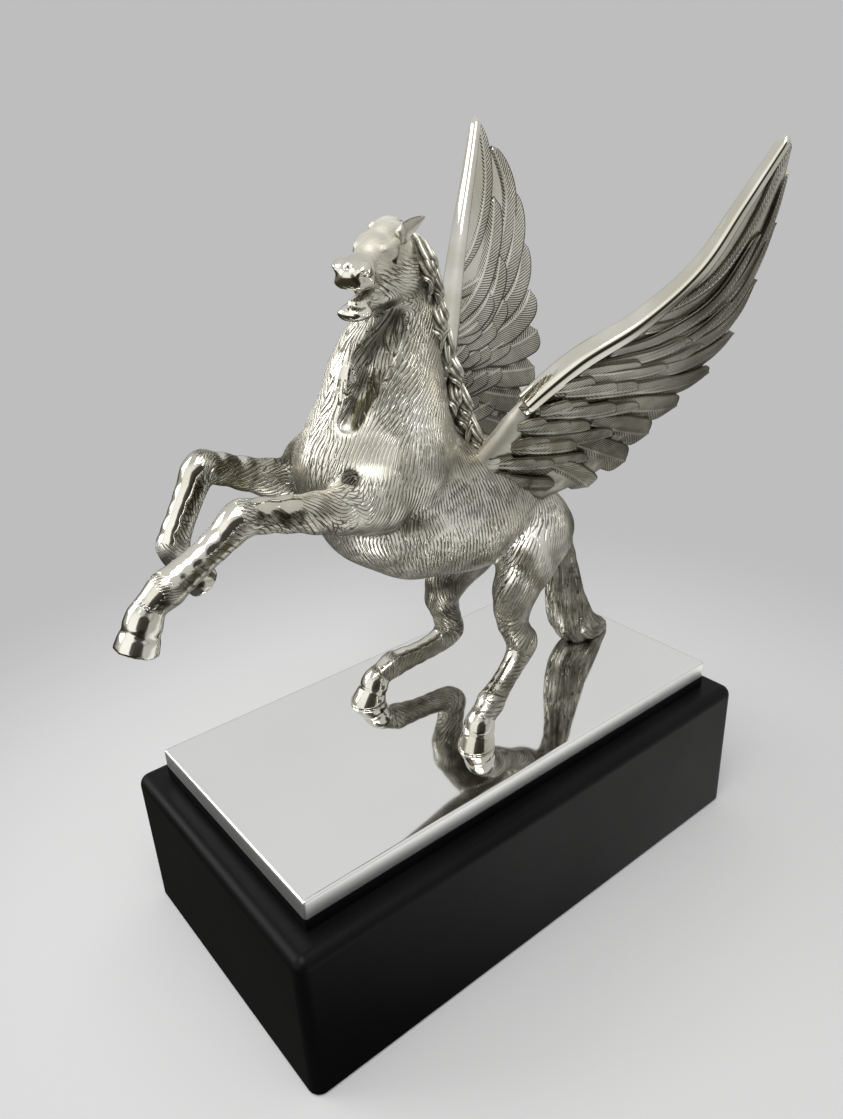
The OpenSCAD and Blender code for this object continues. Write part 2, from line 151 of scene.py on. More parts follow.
# The recess down the neck's left side, and the grooves of the trunk and neck, in the same form
NECK_RECESS = [
    [(-22.4, -11.6, 142.6), (-31.4, -11.6, 134.1), 5.0, 6.4, 1.0, 0.6],
    [(-31.4, -11.6, 134.1), (-35.7, -11.3, 126.1), 6.4, 5.0, 1.0, 0.6],
    [(-35.7, -11.3, 126.1), (-40.8, -10.3, 117.6), 5.0, 3.4, 1.0, 0.6],
]
GROOVES = NECK_RECESS + [
    [(-29, 11, 141), (-46, 13, 113), 3.2, 1.8, 1.0, 3],
    [(-44.6, -14.6, 103.8), (-44.8, -18.0, 98.6), 2.2, 2.5, 1.0, 0.8],
    [(12, -19.5, 66), (23, -20.5, 42), 1.5, 1.7, 1.0, 1.8],
    [(12, 19.5, 66), (20, 20, 40), 1.5, 1.7, 1.0, 1.8],
]
# Hollows and creases, and places on the horse's far side, darkened with painted shade and partly with
# patina, in the same form with the softness left out
SHADE_PATINA_HOLLOWS = [
    [(-22.4, -11.6, 142.6), (-31.4, -11.6, 134.1), 5.6, 7.2, 1.0],
    [(-27, -23, 84), (-14, -24, 79), 6.0, 4.5, 1.0],
    [(15, -20, 67), (25, -23, 40), 2.6, 5.0, 1.0],
    [(-30, 8, 88), (-24, 12, 84), 7.0, 6.0, 1.0],
    [(-46, 14, 103), (-42, 22, 98), 5.0, 4.0, 1.0],
    [(14, 20, 67), (22, 22, 40), 2.6, 5.0, 1.0],
    [(-17, 24, 82), (-3, 23, 76), 6.5, 5.0, 1.0],
    [(40, 0, 62), (48, 0, 54), 7.0, 6.0, 1.0],
]
# The darkest painted shade, partly patina: the recess down the neck's left side and the pit at the elbow
DEEPEST_SHADE_PATINA = [
    [(-31.0, -11.8, 135.0), (-35.4, -11.7, 126.4), 6.6, 5.4, 1.0],
    [(-35.4, -11.7, 126.4), (-39.8, -11.0, 118.6), 5.4, 3.8, 1.0],
    [(-44.0, -14.6, 103.4), (-43.9, -17.4, 98.6), 2.5, 2.9, 1.0],
]

# A wing's leading and trailing edges, root to tip, on the left side
LEADING = [(4, -9, 92), (10, -14, 102), (17, -20, 113), (29, -30, 126), (43, -42, 137),
           (56, -52, 151), (65.5, -58, 167), (75.5, -64.3, 185.3)]
TRAILING = [(38, -14, 73), (56, -24, 81), (67, -27, 91), (78, -31, 100.5), (87, -38, 113),
            (89, -46, 130), (88, -55, 158), (78, -64.3, 182)]
WING_ROOT = (17, 16, 106)
RIGHT_WING_RAISE, RIGHT_WING_SWING, RIGHT_WING_SIZE = 6.0, 5.0, 1.07


# ---------------------------------------------------------------- number helpers
def unit(v):
    """The vector, or the rows of vectors, at length one."""
    v = np.asarray(v, float)
    return v / np.maximum(np.linalg.norm(v, axis=-1, keepdims=True), 1e-9)


def along(points, t):
    """Points at t, from 0 to 1, on a smooth curve through a list."""
    p = np.asarray(points, float)
    last = len(p) - 1
    s = np.clip(np.asarray(t, float), 0, 1) * last
    i = np.minimum(s.astype(int), last - 1)
    a, b, c, d = p[np.maximum(i - 1, 0)], p[i], p[i + 1], p[np.minimum(i + 2, last)]
    f = (s - i)[..., None]
    return 0.5 * (2 * b + (c - a) * f + (2 * a - 5 * b + 4 * c - d) * f ** 2
                  + (3 * b - a - 3 * c + d) * f ** 3)


def step(x, low, high):
    """A smooth rise from 0 at low to 1 at high."""
    t = np.clip((np.asarray(x, float) - low) / (high - low), 0, 1)
    return t * t * (3 - 2 * t)


def head_axes():
    """The head's own forward, left and up, as rows."""
    way = unit(HEAD_WAY)
    left = unit(np.cross((0, 0, 1), way))
    up = np.cross(way, left)
    c, s = math.cos(math.radians(HEAD_ROLL)), math.sin(math.radians(HEAD_ROLL))
    return np.array([way, c * left + s * up, c * up - s * left])


def on_head(p):
    """A place in the head's own millimetres, moved to the figure."""
    return np.array(HEAD_AT) + np.asarray(p, float) @ head_axes() * HEAD_SIZE


def in_head(points):
    """The figure's points in the head's own millimetres."""
    return (points - HEAD_AT) @ head_axes().T / HEAD_SIZE


def head_bone(bone):
    """A head swelling moved to the figure."""
    return [on_head(bone[0]), on_head(bone[1]), bone[2] * HEAD_SIZE, bone[3] * HEAD_SIZE] + bone[4:]


# ---------------------------------------------------------------- sculpting
def swelling_distance(x, y, z, bone, side=(0, 1, 0)):
    """Distance from points to a swelling between two balls, narrowed along side."""
    a, b, ra, rb, wide = (np.asarray(v, float) for v in bone[:5])
    side = np.asarray(side, float)
    p = [x - a[0], y - a[1], z - a[2]]
    axis = b - a
    squeeze = 1 / wide - 1
    if abs(squeeze) > 1e-6:
        off = (p[0] * side[0] + p[1] * side[1] + p[2] * side[2]) * squeeze
        p = [p[i] + side[i] * off for i in range(3)]
        axis = axis + side * (axis @ side) * squeeze
    l2 = max(axis @ axis, 1e-6)
    drop = ra - rb
    a2 = max(l2 - drop * drop, 1e-6)
    h = p[0] * axis[0] + p[1] * axis[1] + p[2] * axis[2]
    far = h - l2
    x2 = l2 * (l2 * (p[0] ** 2 + p[1] ** 2 + p[2] ** 2) - h * h)
    x2 = np.maximum(x2, 0)
    k = np.sign(drop) * drop * drop * x2
    end = np.sqrt(x2 + far * far * l2) / l2 - rb
    start = np.sqrt(x2 + h * h * l2) / l2 - ra
    middle = (np.sqrt(x2 * a2 / l2) + h * drop) / l2 - ra
    d = np.where(np.sign(far) * a2 * far * far * l2 > k, end,
                 np.where(np.sign(h) * a2 * h * h * l2 < k, start, middle))
    return d * min(1.0, float(wide))


def blend_in(a, b, soft):
    """The nearer of two distances, with a fillet of that softness where they meet."""
    h = np.maximum(soft - np.abs(a - b), 0) / soft
    return np.minimum(a, b) - h * h * soft * 0.25


class Clay:
    """A block of distances to a surface, which swellings are added to and cut from."""

    FAR = 6.0

    def __init__(self, low, high, voxel):
        self.low, self.voxel = np.array(low, float), voxel
        counts = np.ceil((np.array(high) - low) / voxel).astype(int) + 1
        self.axes = [self.low[i] + voxel * np.arange(counts[i]) for i in range(3)]
        self.field = np.full(counts, self.FAR, np.float32)

    def around(self, low, high):
        cut = tuple(slice(*np.searchsorted(self.axes[i], (low[i], high[i]))) for i in range(3))
        grid = np.meshgrid(*[a[c] for a, c in zip(self.axes, cut)], indexing="ij", sparse=True)
        return cut, grid

    def put(self, bone, side=(0, 1, 0), cut_away=False):
        a, b = np.array(bone[0], float), np.array(bone[1], float)
        reach = max(bone[2], bone[3]) * max(1.0, bone[4]) + bone[5] + 1
        where, grid = self.around(np.minimum(a, b) - reach, np.maximum(a, b) + reach)
        if 0 in self.field[where].shape:
            return
        d = swelling_distance(*grid, bone, side).astype(np.float32)
        old = self.field[where]
        self.field[where] = -blend_in(-old, d, bone[5]) if cut_away else blend_in(old, d, bone[5])

    def surface(self):
        """Points and four-cornered faces of the surface, in millimetres."""
        grid = openvdb.FloatGrid(self.FAR)
        grid.copyFromArray(np.clip(self.field, -3, 3))
        points, triangles, quads = grid.convertToPolygons(isovalue=0.0, adaptivity=0.0)
        faces = [quads[:, [0, 1, 2]], quads[:, [0, 2, 3]]]
        if len(triangles):
            faces.append(triangles)
        return points * self.voxel + self.low, np.concatenate(faces).astype(int)


def limb_bones(stations, count, soft):
    """A limb as a chain of short swellings through its stations."""
    curve = along(stations, np.linspace(0, 1, count + 1))
    return [[a[:3], b[:3], a[3], b[3], (a[4] + b[4]) / (a[3] + b[3]), soft]
            for a, b in zip(curve[:-1], curve[1:])]


def leg_bones(name):
    return limb_bones(LEGS[name], count=16, soft=1.6)


def shin_bones(name):
    """A leg from just above its knee or hock down."""
    return limb_bones(LEGS[name][3:], count=8, soft=1)


def tail_bones():
    return limb_bones(TAIL, count=14, soft=2.5)


def hoof_bones(name):
    """The pastern's end, the bulb of the coronet and the hoof's wall below its groove."""
    top, sole, r_top, r_sole = HOOVES[name]
    top, sole = np.array(top, float), np.array(sole, float)
    way = unit(sole - top)
    middle = top + (sole - top) * 0.48
    return [[top - way * 1.8, top, r_top * 0.80, r_top * 0.92, 1.0, 1.6],
            [top, middle - way * 2.3, r_top * 0.98, r_top * 1.04, 0.97, 0.3],
            [middle + way * 2.2, sole + way * 1.5, r_top * 1.13, r_sole, 0.97, 0.15]]


def sculpt_horse():
    """The points and faces of the horse without its wings, mane locks and ears."""
    clay = Clay((-120, -32, -3), (94, 32, 174), VOXEL)
    for bone in TRUNK + NECK + MUSCLES:
        clay.put(bone)
    for bone in GROOVES:
        clay.put(bone, cut_away=True)
    for name in LEGS:
        for bone in whole_leg(name):
            clay.put(bone)
    for bone in tail_bones():
        clay.put(bone)
    left = head_axes()[1]
    for bone in HEAD:
        clay.put(head_bone(bone), side=left)
    for bone in HEAD_CUTS:
        clay.put(head_bone(bone), side=left, cut_away=True)
    clay.put(head_bone(TONGUE), side=left)
    flatten_soles(clay)
    return clay.surface()


def leg_details(name):
    """The knee or hock, the fetlock, and the tendon behind them, from the leg's own stations."""
    s = [np.array(p, float) for p in LEGS[name]]
    joint, cannon, fetlock = s[4], s[6], s[7]
    bones = [[joint[:3], joint[:3] + (0, 0, 0.5), joint[3] * 1.08, joint[3], 1.0, 1.2],
             [fetlock[:3], fetlock[:3] + (0, 0, 0.5), fetlock[3] * 1.1, fetlock[3], 1.0, 1.0]]
    if "hind" in name:
        point = joint[:3] + (3.2, 0, 1.6)
        bones.append([s[3][:3] + (2.6, 0, 0), point, 1.6, 2.3, 1.0, 1.5])
        bones.append([point, cannon[:3] + (1.5, 0, -2.2), 2.0, 1.5, 1.0, 1.5])
    else:
        back = unit(np.cross(cannon[:3] - joint[:3], (0, 1, 0)))
        back = back if back[2] < 0 else -back
        bones.append([joint[:3] + back * 1.5, fetlock[:3] + back * 2.0, 2.2, 2.0, 1.0, 1.2])
    return bones


def whole_leg(name):
    return leg_bones(name) + hoof_bones(name) + leg_details(name)


def flatten_soles(clay):
    """Cuts the standing castings flat at the plate and the raised hooves flat at the sole."""
    where, (x, y, z) = clay.around((-60, -32, -4), (94, 32, 6))
    clay.field[where] = np.maximum(clay.field[where], (0.02 - z).astype(np.float32))
    for name in ("left_foreleg", "right_foreleg"):
        top, sole = (np.array(p, float) for p in HOOVES[name][:2])
        way = unit(sole - top)
        where, (x, y, z) = clay.around(sole - 11, sole + 11)
        past = (x - sole[0]) * way[0] + (y - sole[1]) * way[1] + (z - sole[2]) * way[2]
        cut = np.where(past > -Clay.FAR, past, -9).astype(np.float32)
        clay.field[where] = np.maximum(clay.field[where], cut)


# ---------------------------------------------------------------- which piece a face is on
def chain_distance(points, bones):
    x, y, z = points.T
    return np.min([swelling_distance(x, y, z, bone) for bone in bones], axis=0)


def islands(faces, count):
    """A number for each point that all points of its connected part share."""
    mark = np.arange(count)
    while True:
        low = mark[faces].min(1)
        new = mark.copy()
        np.minimum.at(new, faces.ravel(), np.repeat(low, 3))
        new = new[new]
        if (new == mark).all():
            return mark
        mark = new


def sort_faces(points, faces):
    """The castings' names, and for each face the index of its casting in them."""
    middles = points[faces].mean(1)
    names = ["torso"] + list(LEGS) + ["tail"]
    body = chain_distance(middles, TRUNK + SHOULDERS) - 0.2
    near = [np.minimum(body, chain_distance(middles, NECK))]
    near += [chain_distance(middles, whole_leg(name)) for name in LEGS]
    near.append(chain_distance(middles, tail_bones()))
    best = np.argmin(near, axis=0)
    for number in range(1, len(names)):
        mine = np.flatnonzero(best == number)
        marks = islands(faces[mine], len(points))[faces[mine, 0]]
        values, counts = np.unique(marks, return_counts=True)
        best[mine[marks != values[counts.argmax()]]] = 0
    return names, best


def close_openings(faces, points):
    """The points and faces with a fan of faces over each open edge loop."""
    edges = np.concatenate([faces[:, [0, 1]], faces[:, [1, 2]], faces[:, [2, 0]]])
    twin = {(a, b) for a, b in edges.tolist()}
    onward = {}
    for a, b in twin:
        if (b, a) not in twin:
            onward.setdefault(b, []).append(a)
    extra_points, extra_faces = [], []
    while onward:
        start = next(iter(onward))
        loop, here = [], start
        while here in onward:
            following = onward[here].pop()
            if not onward[here]:
                del onward[here]
            loop.append(here)
            here = following
        centre = len(points) + len(extra_points)
        extra_points.append(points[loop].mean(0))
        extra_faces += [(loop[i], loop[(i + 1) % len(loop)], centre) for i in range(len(loop))]
    if not extra_faces:
        return points, faces
    return np.vstack([points, extra_points]), np.vstack([faces, extra_faces])


# ---------------------------------------------------------------- making Blender pieces
def in_scene(name, data):
    """A new object of the scene with that data."""
    item = bpy.data.objects.new(name, data)
    bpy.context.scene.collection.objects.link(item)
    return item


def shade_smooth(mesh):
    mesh.polygons.foreach_set("use_smooth", [True] * len(mesh.polygons))


def new_piece(name, points, faces, replaced=()):
    """A mesh piece from points in figure millimetres, riding on the CAD body."""
    mesh = bpy.data.meshes.new(name)
    placed = (np.asarray(points, float) + (0, 0, PLATE_TOP)) * MM
    mesh.from_pydata(placed.tolist(), [], [list(f) for f in faces])
    mesh.validate()
    shade_smooth(mesh)
    mesh.update()
    piece = in_scene(name, mesh)
    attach(piece, "root")
    if replaced:
        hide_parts(*replaced)
    return piece


def give_vectors(piece, name, values):
    layer = piece.data.attributes.new(name, "FLOAT_VECTOR", "POINT")
    layer.data.foreach_set("vector", np.asarray(values, np.float32).ravel())


def give_numbers(piece, name, values):
    layer = piece.data.attributes.new(name, "FLOAT", "POINT")
    layer.data.foreach_set("value", np.asarray(values, np.float32).ravel())


def face_normals(points, faces):
    """Each triangle's normal, as long as twice its area."""
    a, b, c = (points[faces[:, i]] for i in range(3))
    return np.cross(b - a, c - a)


def point_normals(points, faces):
    n = face_normals(points, faces)
    out = np.zeros_like(points)
    for corner in range(3):
        np.add.at(out, faces[:, corner], n)
    return unit(out)


# ---------------------------------------------------------------- chased hair
def hair_lie(points, normals):
    """The way the chased hair runs at each point."""
    lie = np.zeros_like(points)
    x, y, z = points.T

    def lay(bones, way, turn, pull=1.0):
        """Adds hair near some swellings: along way, or along each one, turned some degrees."""
        nonlocal lie
        for bone in bones:
            d = swelling_distance(x, y, z, bone)
            w = pull * np.exp(-np.clip(d, 0, 12) / 1.2)
            axis = unit(np.array(bone[1], float) - bone[0]) if way is None else unit(way)
            flat = unit(axis - normals * (normals @ axis)[:, None])
            a = np.radians(turn) * np.sign(points[:, 1])
            turned = flat * np.cos(a)[:, None] + np.cross(normals, flat) * np.sin(a)[:, None]
            lie += turned * w[:, None]

    lay(TRUNK[:3], (0.25, 0, -1), 0)
    lay(TRUNK[3:5], (0.6, 0, -1), 0)
    lay(TRUNK[5:], (-0.2, 0, -1), 0)
    lay(NECK[:3], (-0.35, 0, -1), 24)
    lay(NECK[3:], (0.7, 0, -1), 0)
    lay(NECK_RECESS, (-0.6, -0.5, -0.5), 0, 6.0)
    for name in LEGS:
        chain = leg_bones(name)
        lay(chain[:4], (-0.5, 0, -1), 0, 1.5)
        lay(chain[4:], None, 38, 2.0)
    lay(tail_bones(), None, 6, 2.0)
    lay([head_bone(b) for b in HEAD[:6]], -head_axes()[0] - head_axes()[2] * 0.5, 0, 4.0)
    return unit(lie)


def near_to(points, middle, far, close):
    """A smooth rise from 0 at a distance of far from the middle to 1 at close."""
    return step(-np.linalg.norm(points - middle, axis=1), -far, -close)


def paint_shade_and_patina(points, normals):
    """Painted shade, partly patina in the hollows: 1 in the hollows, low down, on downward faces, on the
    shins' sides and on the far foreleg, and 2 where it is near black.
    """
    worst = -chain_distance(points, SHADE_PATINA_HOLLOWS)
    deepest_shade = step(-chain_distance(points, DEEPEST_SHADE_PATINA), -0.9, 1.0)
    # Deepest painted shade also in both eye sockets
    for side in (1, -1):
        deepest_shade = np.maximum(deepest_shade, near_to(in_head(points), (7.4, 5.4 * side, 1.0), 1.6, 0.7))
    x, y, z = points.T
    # Painted shade: darker low down, and on downward-facing surfaces below the withers
    under = np.maximum(step(z, 66, 44) * 0.78, 0.8 * step(-normals[:, 2], 0.15, 0.75) * step(z, 100, 90))
    # Painted shade down the sides of the foreleg shins
    reach = np.zeros(len(points))
    for name in ("left_foreleg", "right_foreleg"):
        shin = chain_distance(points, shin_bones(name))
        side = step(-np.abs(normals @ shin_front(name) + 0.02), -0.34, -0.20)
        reach = np.maximum(reach, side * step(-shin, -1.2, -0.4))
    # Painted shade on the upper right foreleg, on the horse's far side
    far = 0.6 * step(-chain_distance(points, limb_bones(LEGS["right_foreleg"][1:5], 8, 1)), -2, 0)
    far = far * step(-x, 40, 48)
    return np.maximum.reduce([0.9 * step(worst, -2.2, 1.5), under, reach, far, 2 * deepest_shade])


def shin_front(name):
    """The way that the front of a shin faces."""
    way = unit(np.array(LEGS[name][6][:3], float) - LEGS[name][4][:3])
    front = unit(np.cross(way, (0, 1, 0)))
    return front if front[0] < 0 else -front


def plain_places(points):
    """How smooth the casting is: most on the forehead, the nose, a cheek and the breast."""
    local = in_head(points)
    brow = step(local[:, 2], -2.5, 0.5) * step(local[:, 0], -6, -1)
    cheek = near_to(local, (4, 4, -6), 6, 3) * 0.6
    near = near_to(local, (0, 0, 0), HEAD_REACH, 28)
    # The breast worn smooth
    patchy = near_to(points, (-36, -16, 108), 11, 5) * 0.75
    return np.maximum(np.maximum(brow * 0.74, cheek) * near, patchy)


def polish(points, normals):
    """One where the plating is left bright: the hooves, the shins and the muzzle."""
    x, y, z = points.T
    bright = np.zeros(len(points))
    for name in LEGS:
        for part in hoof_bones(name)[1:]:
            bright = np.maximum(bright, step(-swelling_distance(x, y, z, part), -0.6, -0.1))
        shin = chain_distance(points, shin_bones(name))
        low = 0.22 if "fore" in name else 0.66
        facing = step(normals @ shin_front(name), low, low + 0.10) * step(-shin, -1.2, -0.4)
        bright = np.maximum(bright, facing)
    local = in_head(points)
    muzzle = step(local[:, 0], 15.5, 18) * (np.linalg.norm(local, axis=1) < HEAD_REACH)
    return np.maximum(bright, muzzle)


def relax(points, faces, times):
    """Evens the surface out, moving each point part of the way to its neighbours' middle."""
    a = np.concatenate([faces[:, 0], faces[:, 1], faces[:, 2]])
    b = np.concatenate([faces[:, 1], faces[:, 2], faces[:, 0]])
    count = np.bincount(a, minlength=len(points))[:, None]
    for _ in range(times):
        near = np.stack([np.bincount(a, points[b, i], len(points)) for i in range(3)], 1) / count
        points = points + 0.5 * (near - points)
    return points


TAIL_MARKS = 80


def comb_tail(points):
    """Presses seven twisting strands into the tail, with finer ones between them."""
    x, y, z = points.T
    depth = chain_distance(points, tail_bones())
    mine = (depth < 2.5) & (x > 50) & (z < 56)
    curve = along(TAIL, np.linspace(0, 1, TAIL_MARKS))[:, :3]
    spot = points[mine]
    near = np.argmin(((spot[:, None] - curve[None]) ** 2).sum(2), axis=1)
    axis = unit(np.gradient(curve, axis=0))[near]
    out = spot - curve[near]
    out -= axis * (out * axis).sum(1)[:, None]
    turn = np.arctan2(out[:, 1], (out * np.cross(axis, (0, 1, 0))).sum(1))
    down = near / (TAIL_MARKS - 1)
    run = down * 5.5
    strand = np.abs(np.sin(3.5 * turn + run + 0.8 * np.sin(2.3 * run + turn)))
    fine = np.abs(np.sin(10 * turn + 1.6 * run))
    press = ((1 - strand) ** 1.6 * 1.3 + (1 - fine) * 0.35) * step(down, 0.16, 0.34)
    points = points.copy()
    points[mine] -= unit(out) * press[:, None]
    return points


def make_castings():
    """The torso, legs and tail: one sculpture, parted where the castings are brazed."""
    points, faces = sculpt_horse()
    points = comb_tail(relax(points, faces, 3))
    if (face_normals(points, faces) * points[faces[:, 0]]).sum() < 0:
        faces = faces[:, ::-1]
    normals = point_normals(points, faces)
    lie, bright, shade_patina = hair_lie(points, normals), polish(points, normals), paint_shade_and_patina(points, normals)
    plain = plain_places(points)
    names, owner = sort_faces(points, faces)
    for number, name in enumerate(names):
        mine = faces[owner == number]
        used, local = np.unique(mine, return_inverse=True)
        shell, closed = close_openings(local.reshape(-1, 3), points[used])
        extra = len(shell) - len(used)
        piece = new_piece(name + "_casting", shell, closed, (name,))
        give_vectors(piece, "hair", np.vstack([lie[used], np.tile((0, 0, 1), (extra, 1))]))
        give_numbers(piece, "bright", np.append(bright[used], np.zeros(extra)))
        give_numbers(piece, "shade_patina", np.append(shade_patina[used], np.zeros(extra)))
        give_numbers(piece, "plain", np.append(plain[used], np.ones(extra)))
        piece.data.normals_split_custom_set_from_vertices(
            np.vstack([normals[used], np.tile((0, 0, 1), (extra, 1))]).tolist())
        piece.data.materials.append(casting_finish())


# ---------------------------------------------------------------- locks, ears and tubes
def tube(path, depth, width, side, sides=20, ridge=0.0, ridges=6, twist=0.0, square=2.0):
    """A closed tube along a path; ridge is how deep its strands are, against its radius.

    square is 2 for a round section, and more for a flatter-faced one."""
    path = np.asarray(path, float)
    way = unit(np.gradient(path, axis=0))
    across = unit(np.asarray(side, float) - way * (way @ np.asarray(side, float))[:, None])
    front = np.cross(across, way)
    angle = np.linspace(0, 2 * np.pi, sides, endpoint=False)
    turn = np.linspace(0, twist, len(path))[:, None]
    wave = 1 + ridge * (np.abs(np.cos(ridges / 2 * (angle[None] + turn))) - 0.6)
    wave = wave * (np.abs(np.cos(angle)) ** square + np.abs(np.sin(angle)) ** square) ** (-1 / square)
    ring = (front[:, None] * (np.cos(angle) * wave)[..., None] * np.asarray(depth)[:, None, None]
            + across[:, None] * (np.sin(angle) * wave)[..., None] * np.asarray(width)[:, None, None])
    points = (path[:, None] + ring).reshape(-1, 3)
    rows = len(path)
    faces = []
    for i in range(rows - 1):
        a, b = i * sides, (i + 1) * sides
        for k in range(sides):
            n = (k + 1) % sides
            faces += [(a + k, a + n, b + n), (a + k, b + n, b + k)]
    for row, flip in ((0, True), (rows - 1, False)):
        centre = len(points)
        points = np.vstack([points, path[row]])
        for k in range(sides):
            n = (k + 1) % sides
            corner = (row * sides + k, row * sides + n, centre)
            faces.append(corner[::-1] if flip else corner)
    return points, np.array(faces)


def joined(parts):
    """Several (points, faces) as one."""
    start, points, faces = 0, [], []
    for p, f in parts:
        points.append(p)
        faces.append(np.asarray(f) + start)
        start += len(p)
    return np.vstack(points), np.vstack(faces)


# The crest of the mane, from the poll down to the withers
CREST = [(-9.5, -1.2, 162), (-6.5, -0.8, 155), (-4, 0, 144), (-1, 0, 133), (3, 0, 121), (7, 0, 108)]
LOCKS_A_SIDE = 19
LOCK_SIDES, LOCK_RIDGES, LOCK_ROWS = 50, 7, 26


def lock(root, sweep, drop, out, length, radius, curl, rng):
    """A tapering S-shaped lock of hair from a root."""
    t = np.linspace(0, 1, LOCK_ROWS)
    sway = np.sin(t * np.pi * 1.6 + curl) - math.sin(curl)
    path = (np.array(root, float) + np.outer(t * length, unit(np.array(sweep) + drop))
            + np.outer(sway * length * 0.16, unit(np.cross(sweep, drop)))
            + np.outer(np.sin(t * np.pi) * length * 0.12, out))
    size = radius * (0.75 + 0.45 * np.sin(np.pi * np.clip(t * 1.15, 0, 1))) * (1 - t ** 4) + 0.12
    return tube(path, size * 0.62, size, np.cross(sweep, out), LOCK_SIDES, 0.30, LOCK_RIDGES,
                rng.uniform(-1.2, 1.2))


def valleys(points, parts):
    """Near 1 between the strands of each lock, where a point lies closer in than its neighbours."""
    out = np.zeros(len(points))
    start = 0
    for own, _ in parts:
        ring = own[:LOCK_ROWS * LOCK_SIDES].reshape(LOCK_ROWS, LOCK_SIDES, 3)
        reach = np.linalg.norm(ring - ring.mean(1, keepdims=True), axis=2)
        near = (np.roll(reach, 4, 1) + np.roll(reach, -4, 1)) / 2
        out[start:start + ring[..., 0].size] = step(near - reach, 0.02, 0.22).ravel() * 0.9
        start += len(own)
    return out


def make_mane():
    """Locks down both sides of the crest."""
    rng = np.random.default_rng(4)
    parts = []
    for i, t in enumerate(np.linspace(0.02, 1, LOCKS_A_SIDE)):
        root = along(CREST, t)
        for side in (-1, 1):
            at = root + (-2.2 + rng.uniform(-0.5, 0.5), side * (2.0 + 0.6 * (i % 2)), 2)
            sweep = np.array((0.50 - 0.15 * (i % 3), side * 0.30, 0))
            parts.append(lock(at, sweep, np.array((0, 0, -1.0)), np.array((0.35, side * 0.9, 0.1)),
                              13 + 3 * rng.random(), 2.5, rng.uniform(-0.6, 0.9), rng))
    points, faces = joined(parts)
    piece = new_piece("mane_locks", points, faces)
    give_numbers(piece, "valley", valleys(points, parts))
    piece.data.materials.append(lock_finish())


# An ear is (head's side, foot, tip), in [forward, left, up] from the middle of the skull.
EARS = [(1, (3.0, 4.0, 4.8), (-8.4, 6.2, 8.2)), (-1, (1.0, -4.4, 4.4), (-6.5, -4.4, 6.0))]
EAR_ROWS, EAR_SIDES = 26, 28


def ear(side, foot, tip):
    """A leaf-shaped ear with a hollow pressed into its outer side."""
    t = np.linspace(0, 1, EAR_ROWS)
    base, end = on_head(foot), on_head(tip)
    path = base + np.outer(t, end - base) + np.outer(np.sin(t * np.pi) * 0.5, (0, 0, 1))
    size = 3.6 * step(t, -0.35, 0.25) * (1 - t) ** 0.72 + 0.16
    forward, left = head_axes()[:2]
    points, faces = tube(path, size * 0.95, size * 0.5, left * side, EAR_SIDES)
    out = unit(left * side + forward * 0.3)
    walls = EAR_ROWS * EAR_SIDES
    ring = points[:walls].reshape(EAR_ROWS, EAR_SIDES, 3)
    lean = (ring - path[:, None]) @ out
    dish = step(lean / size[:, None], 0.05, 0.45) * step(t, 0.1, 0.3)[:, None] * size[:, None]
    points[:walls] = (ring - out * (dish * 0.55)[..., None]).reshape(-1, 3)
    return points, faces


def make_ears():
    """Both ears, laid back."""
    points, faces = joined([ear(*place) for place in EARS])
    piece = new_piece("ears", points, faces)
    give_numbers(piece, "valley", np.zeros(len(points)))
    piece.data.materials.append(lock_finish())


# ---------------------------------------------------------------- wings
# The polished bar starts at the wrist, and the arm ends inside it
BAR_ROWS, BAR_START, ARM_END = 90, 0.27, 0.30
BLADE_HALF = 0.55


def sheet(u, v):
    """A point of the left wing's sheet: u from root to tip, v from front to back."""
    u, v = np.broadcast_arrays(np.asarray(u, float), np.asarray(v, float))
    lead, trail = along(LEADING, u), along(TRAILING, u)
    chord = np.linalg.norm(trail - lead, axis=-1, keepdims=True)
    bow = (4 * v * (1 - v) * 0.05)[..., None] * chord
    return lead + (trail - lead) * v[..., None] + sheet_way(u) * bow


def sheet_way(u):
    """The way out of the sheet, on the side that faces away from the horse."""
    span = unit(along(LEADING, np.minimum(u + 0.02, 1)) - along(LEADING, np.maximum(u - 0.02, 0)))
    return unit(np.cross(unit(along(TRAILING, u) - along(LEADING, u)), span))


def sheet_normal(u, v):
    """The bowed sheet's own normal."""
    e = 0.01
    du = sheet(np.minimum(u + e, 1), v) - sheet(np.maximum(u - e, 0), v)
    dv = sheet(u, np.minimum(v + e, 1)) - sheet(u, np.maximum(v - e, 0))
    return unit(np.cross(dv, du))


def wing_bar():
    """The polished bar along the leading edge, from the wrist's step to the rounded tip."""
    u = np.linspace(BAR_START, 1, BAR_ROWS)
    back = unit(along(TRAILING, u) - along(LEADING, u))
    run = (u - BAR_START) / (1 - BAR_START)
    size = along([[4.8], [5.2], [5.0], [4.6], [4.2], [3.7], [3.2], [2.7]], run)[:, 0]
    tip = np.clip((u - 0.975) / 0.025, 0, 1)
    wrist = np.clip((BAR_START + 0.015 - u) / 0.015, 0, 1)
    size = size * np.sqrt(np.clip(1 - tip ** 2 - wrist ** 2, 0, 1)) + 0.05
    path = along(LEADING, u * 0.99) + back * size[:, None] * 0.46
    return tube(path, size * 0.55, size * 0.72, sheet_way(u[40]), 40, square=3.2)


def wing_arm():
    """The wing's matt upper arm, from the withers to just past the wrist's step."""
    u = np.linspace(0.0, ARM_END, 40)
    back = unit(along(TRAILING, u) - along(LEADING, u))
    size = along([[4.6], [5.4], [5.6], [5.2], [4.2], [2.0]], u / ARM_END)[:, 0]
    path = along(LEADING, u) + back * size[:, None] * 0.95
    return tube(path, size, size * 0.66, sheet_way(u[10]), 28)


def wing_blade():
    """The thin sheet under the feathers, a closed shell."""
    rows, columns = 60, 14
    u = np.linspace(0.0, 0.985, rows)[:, None]
    v = np.linspace(0.03, 0.86, columns)[None]
    middle, out = sheet(u, v), sheet_normal(*np.broadcast_arrays(u, v))
    return shell_of(middle + out * BLADE_HALF, middle - out * BLADE_HALF)


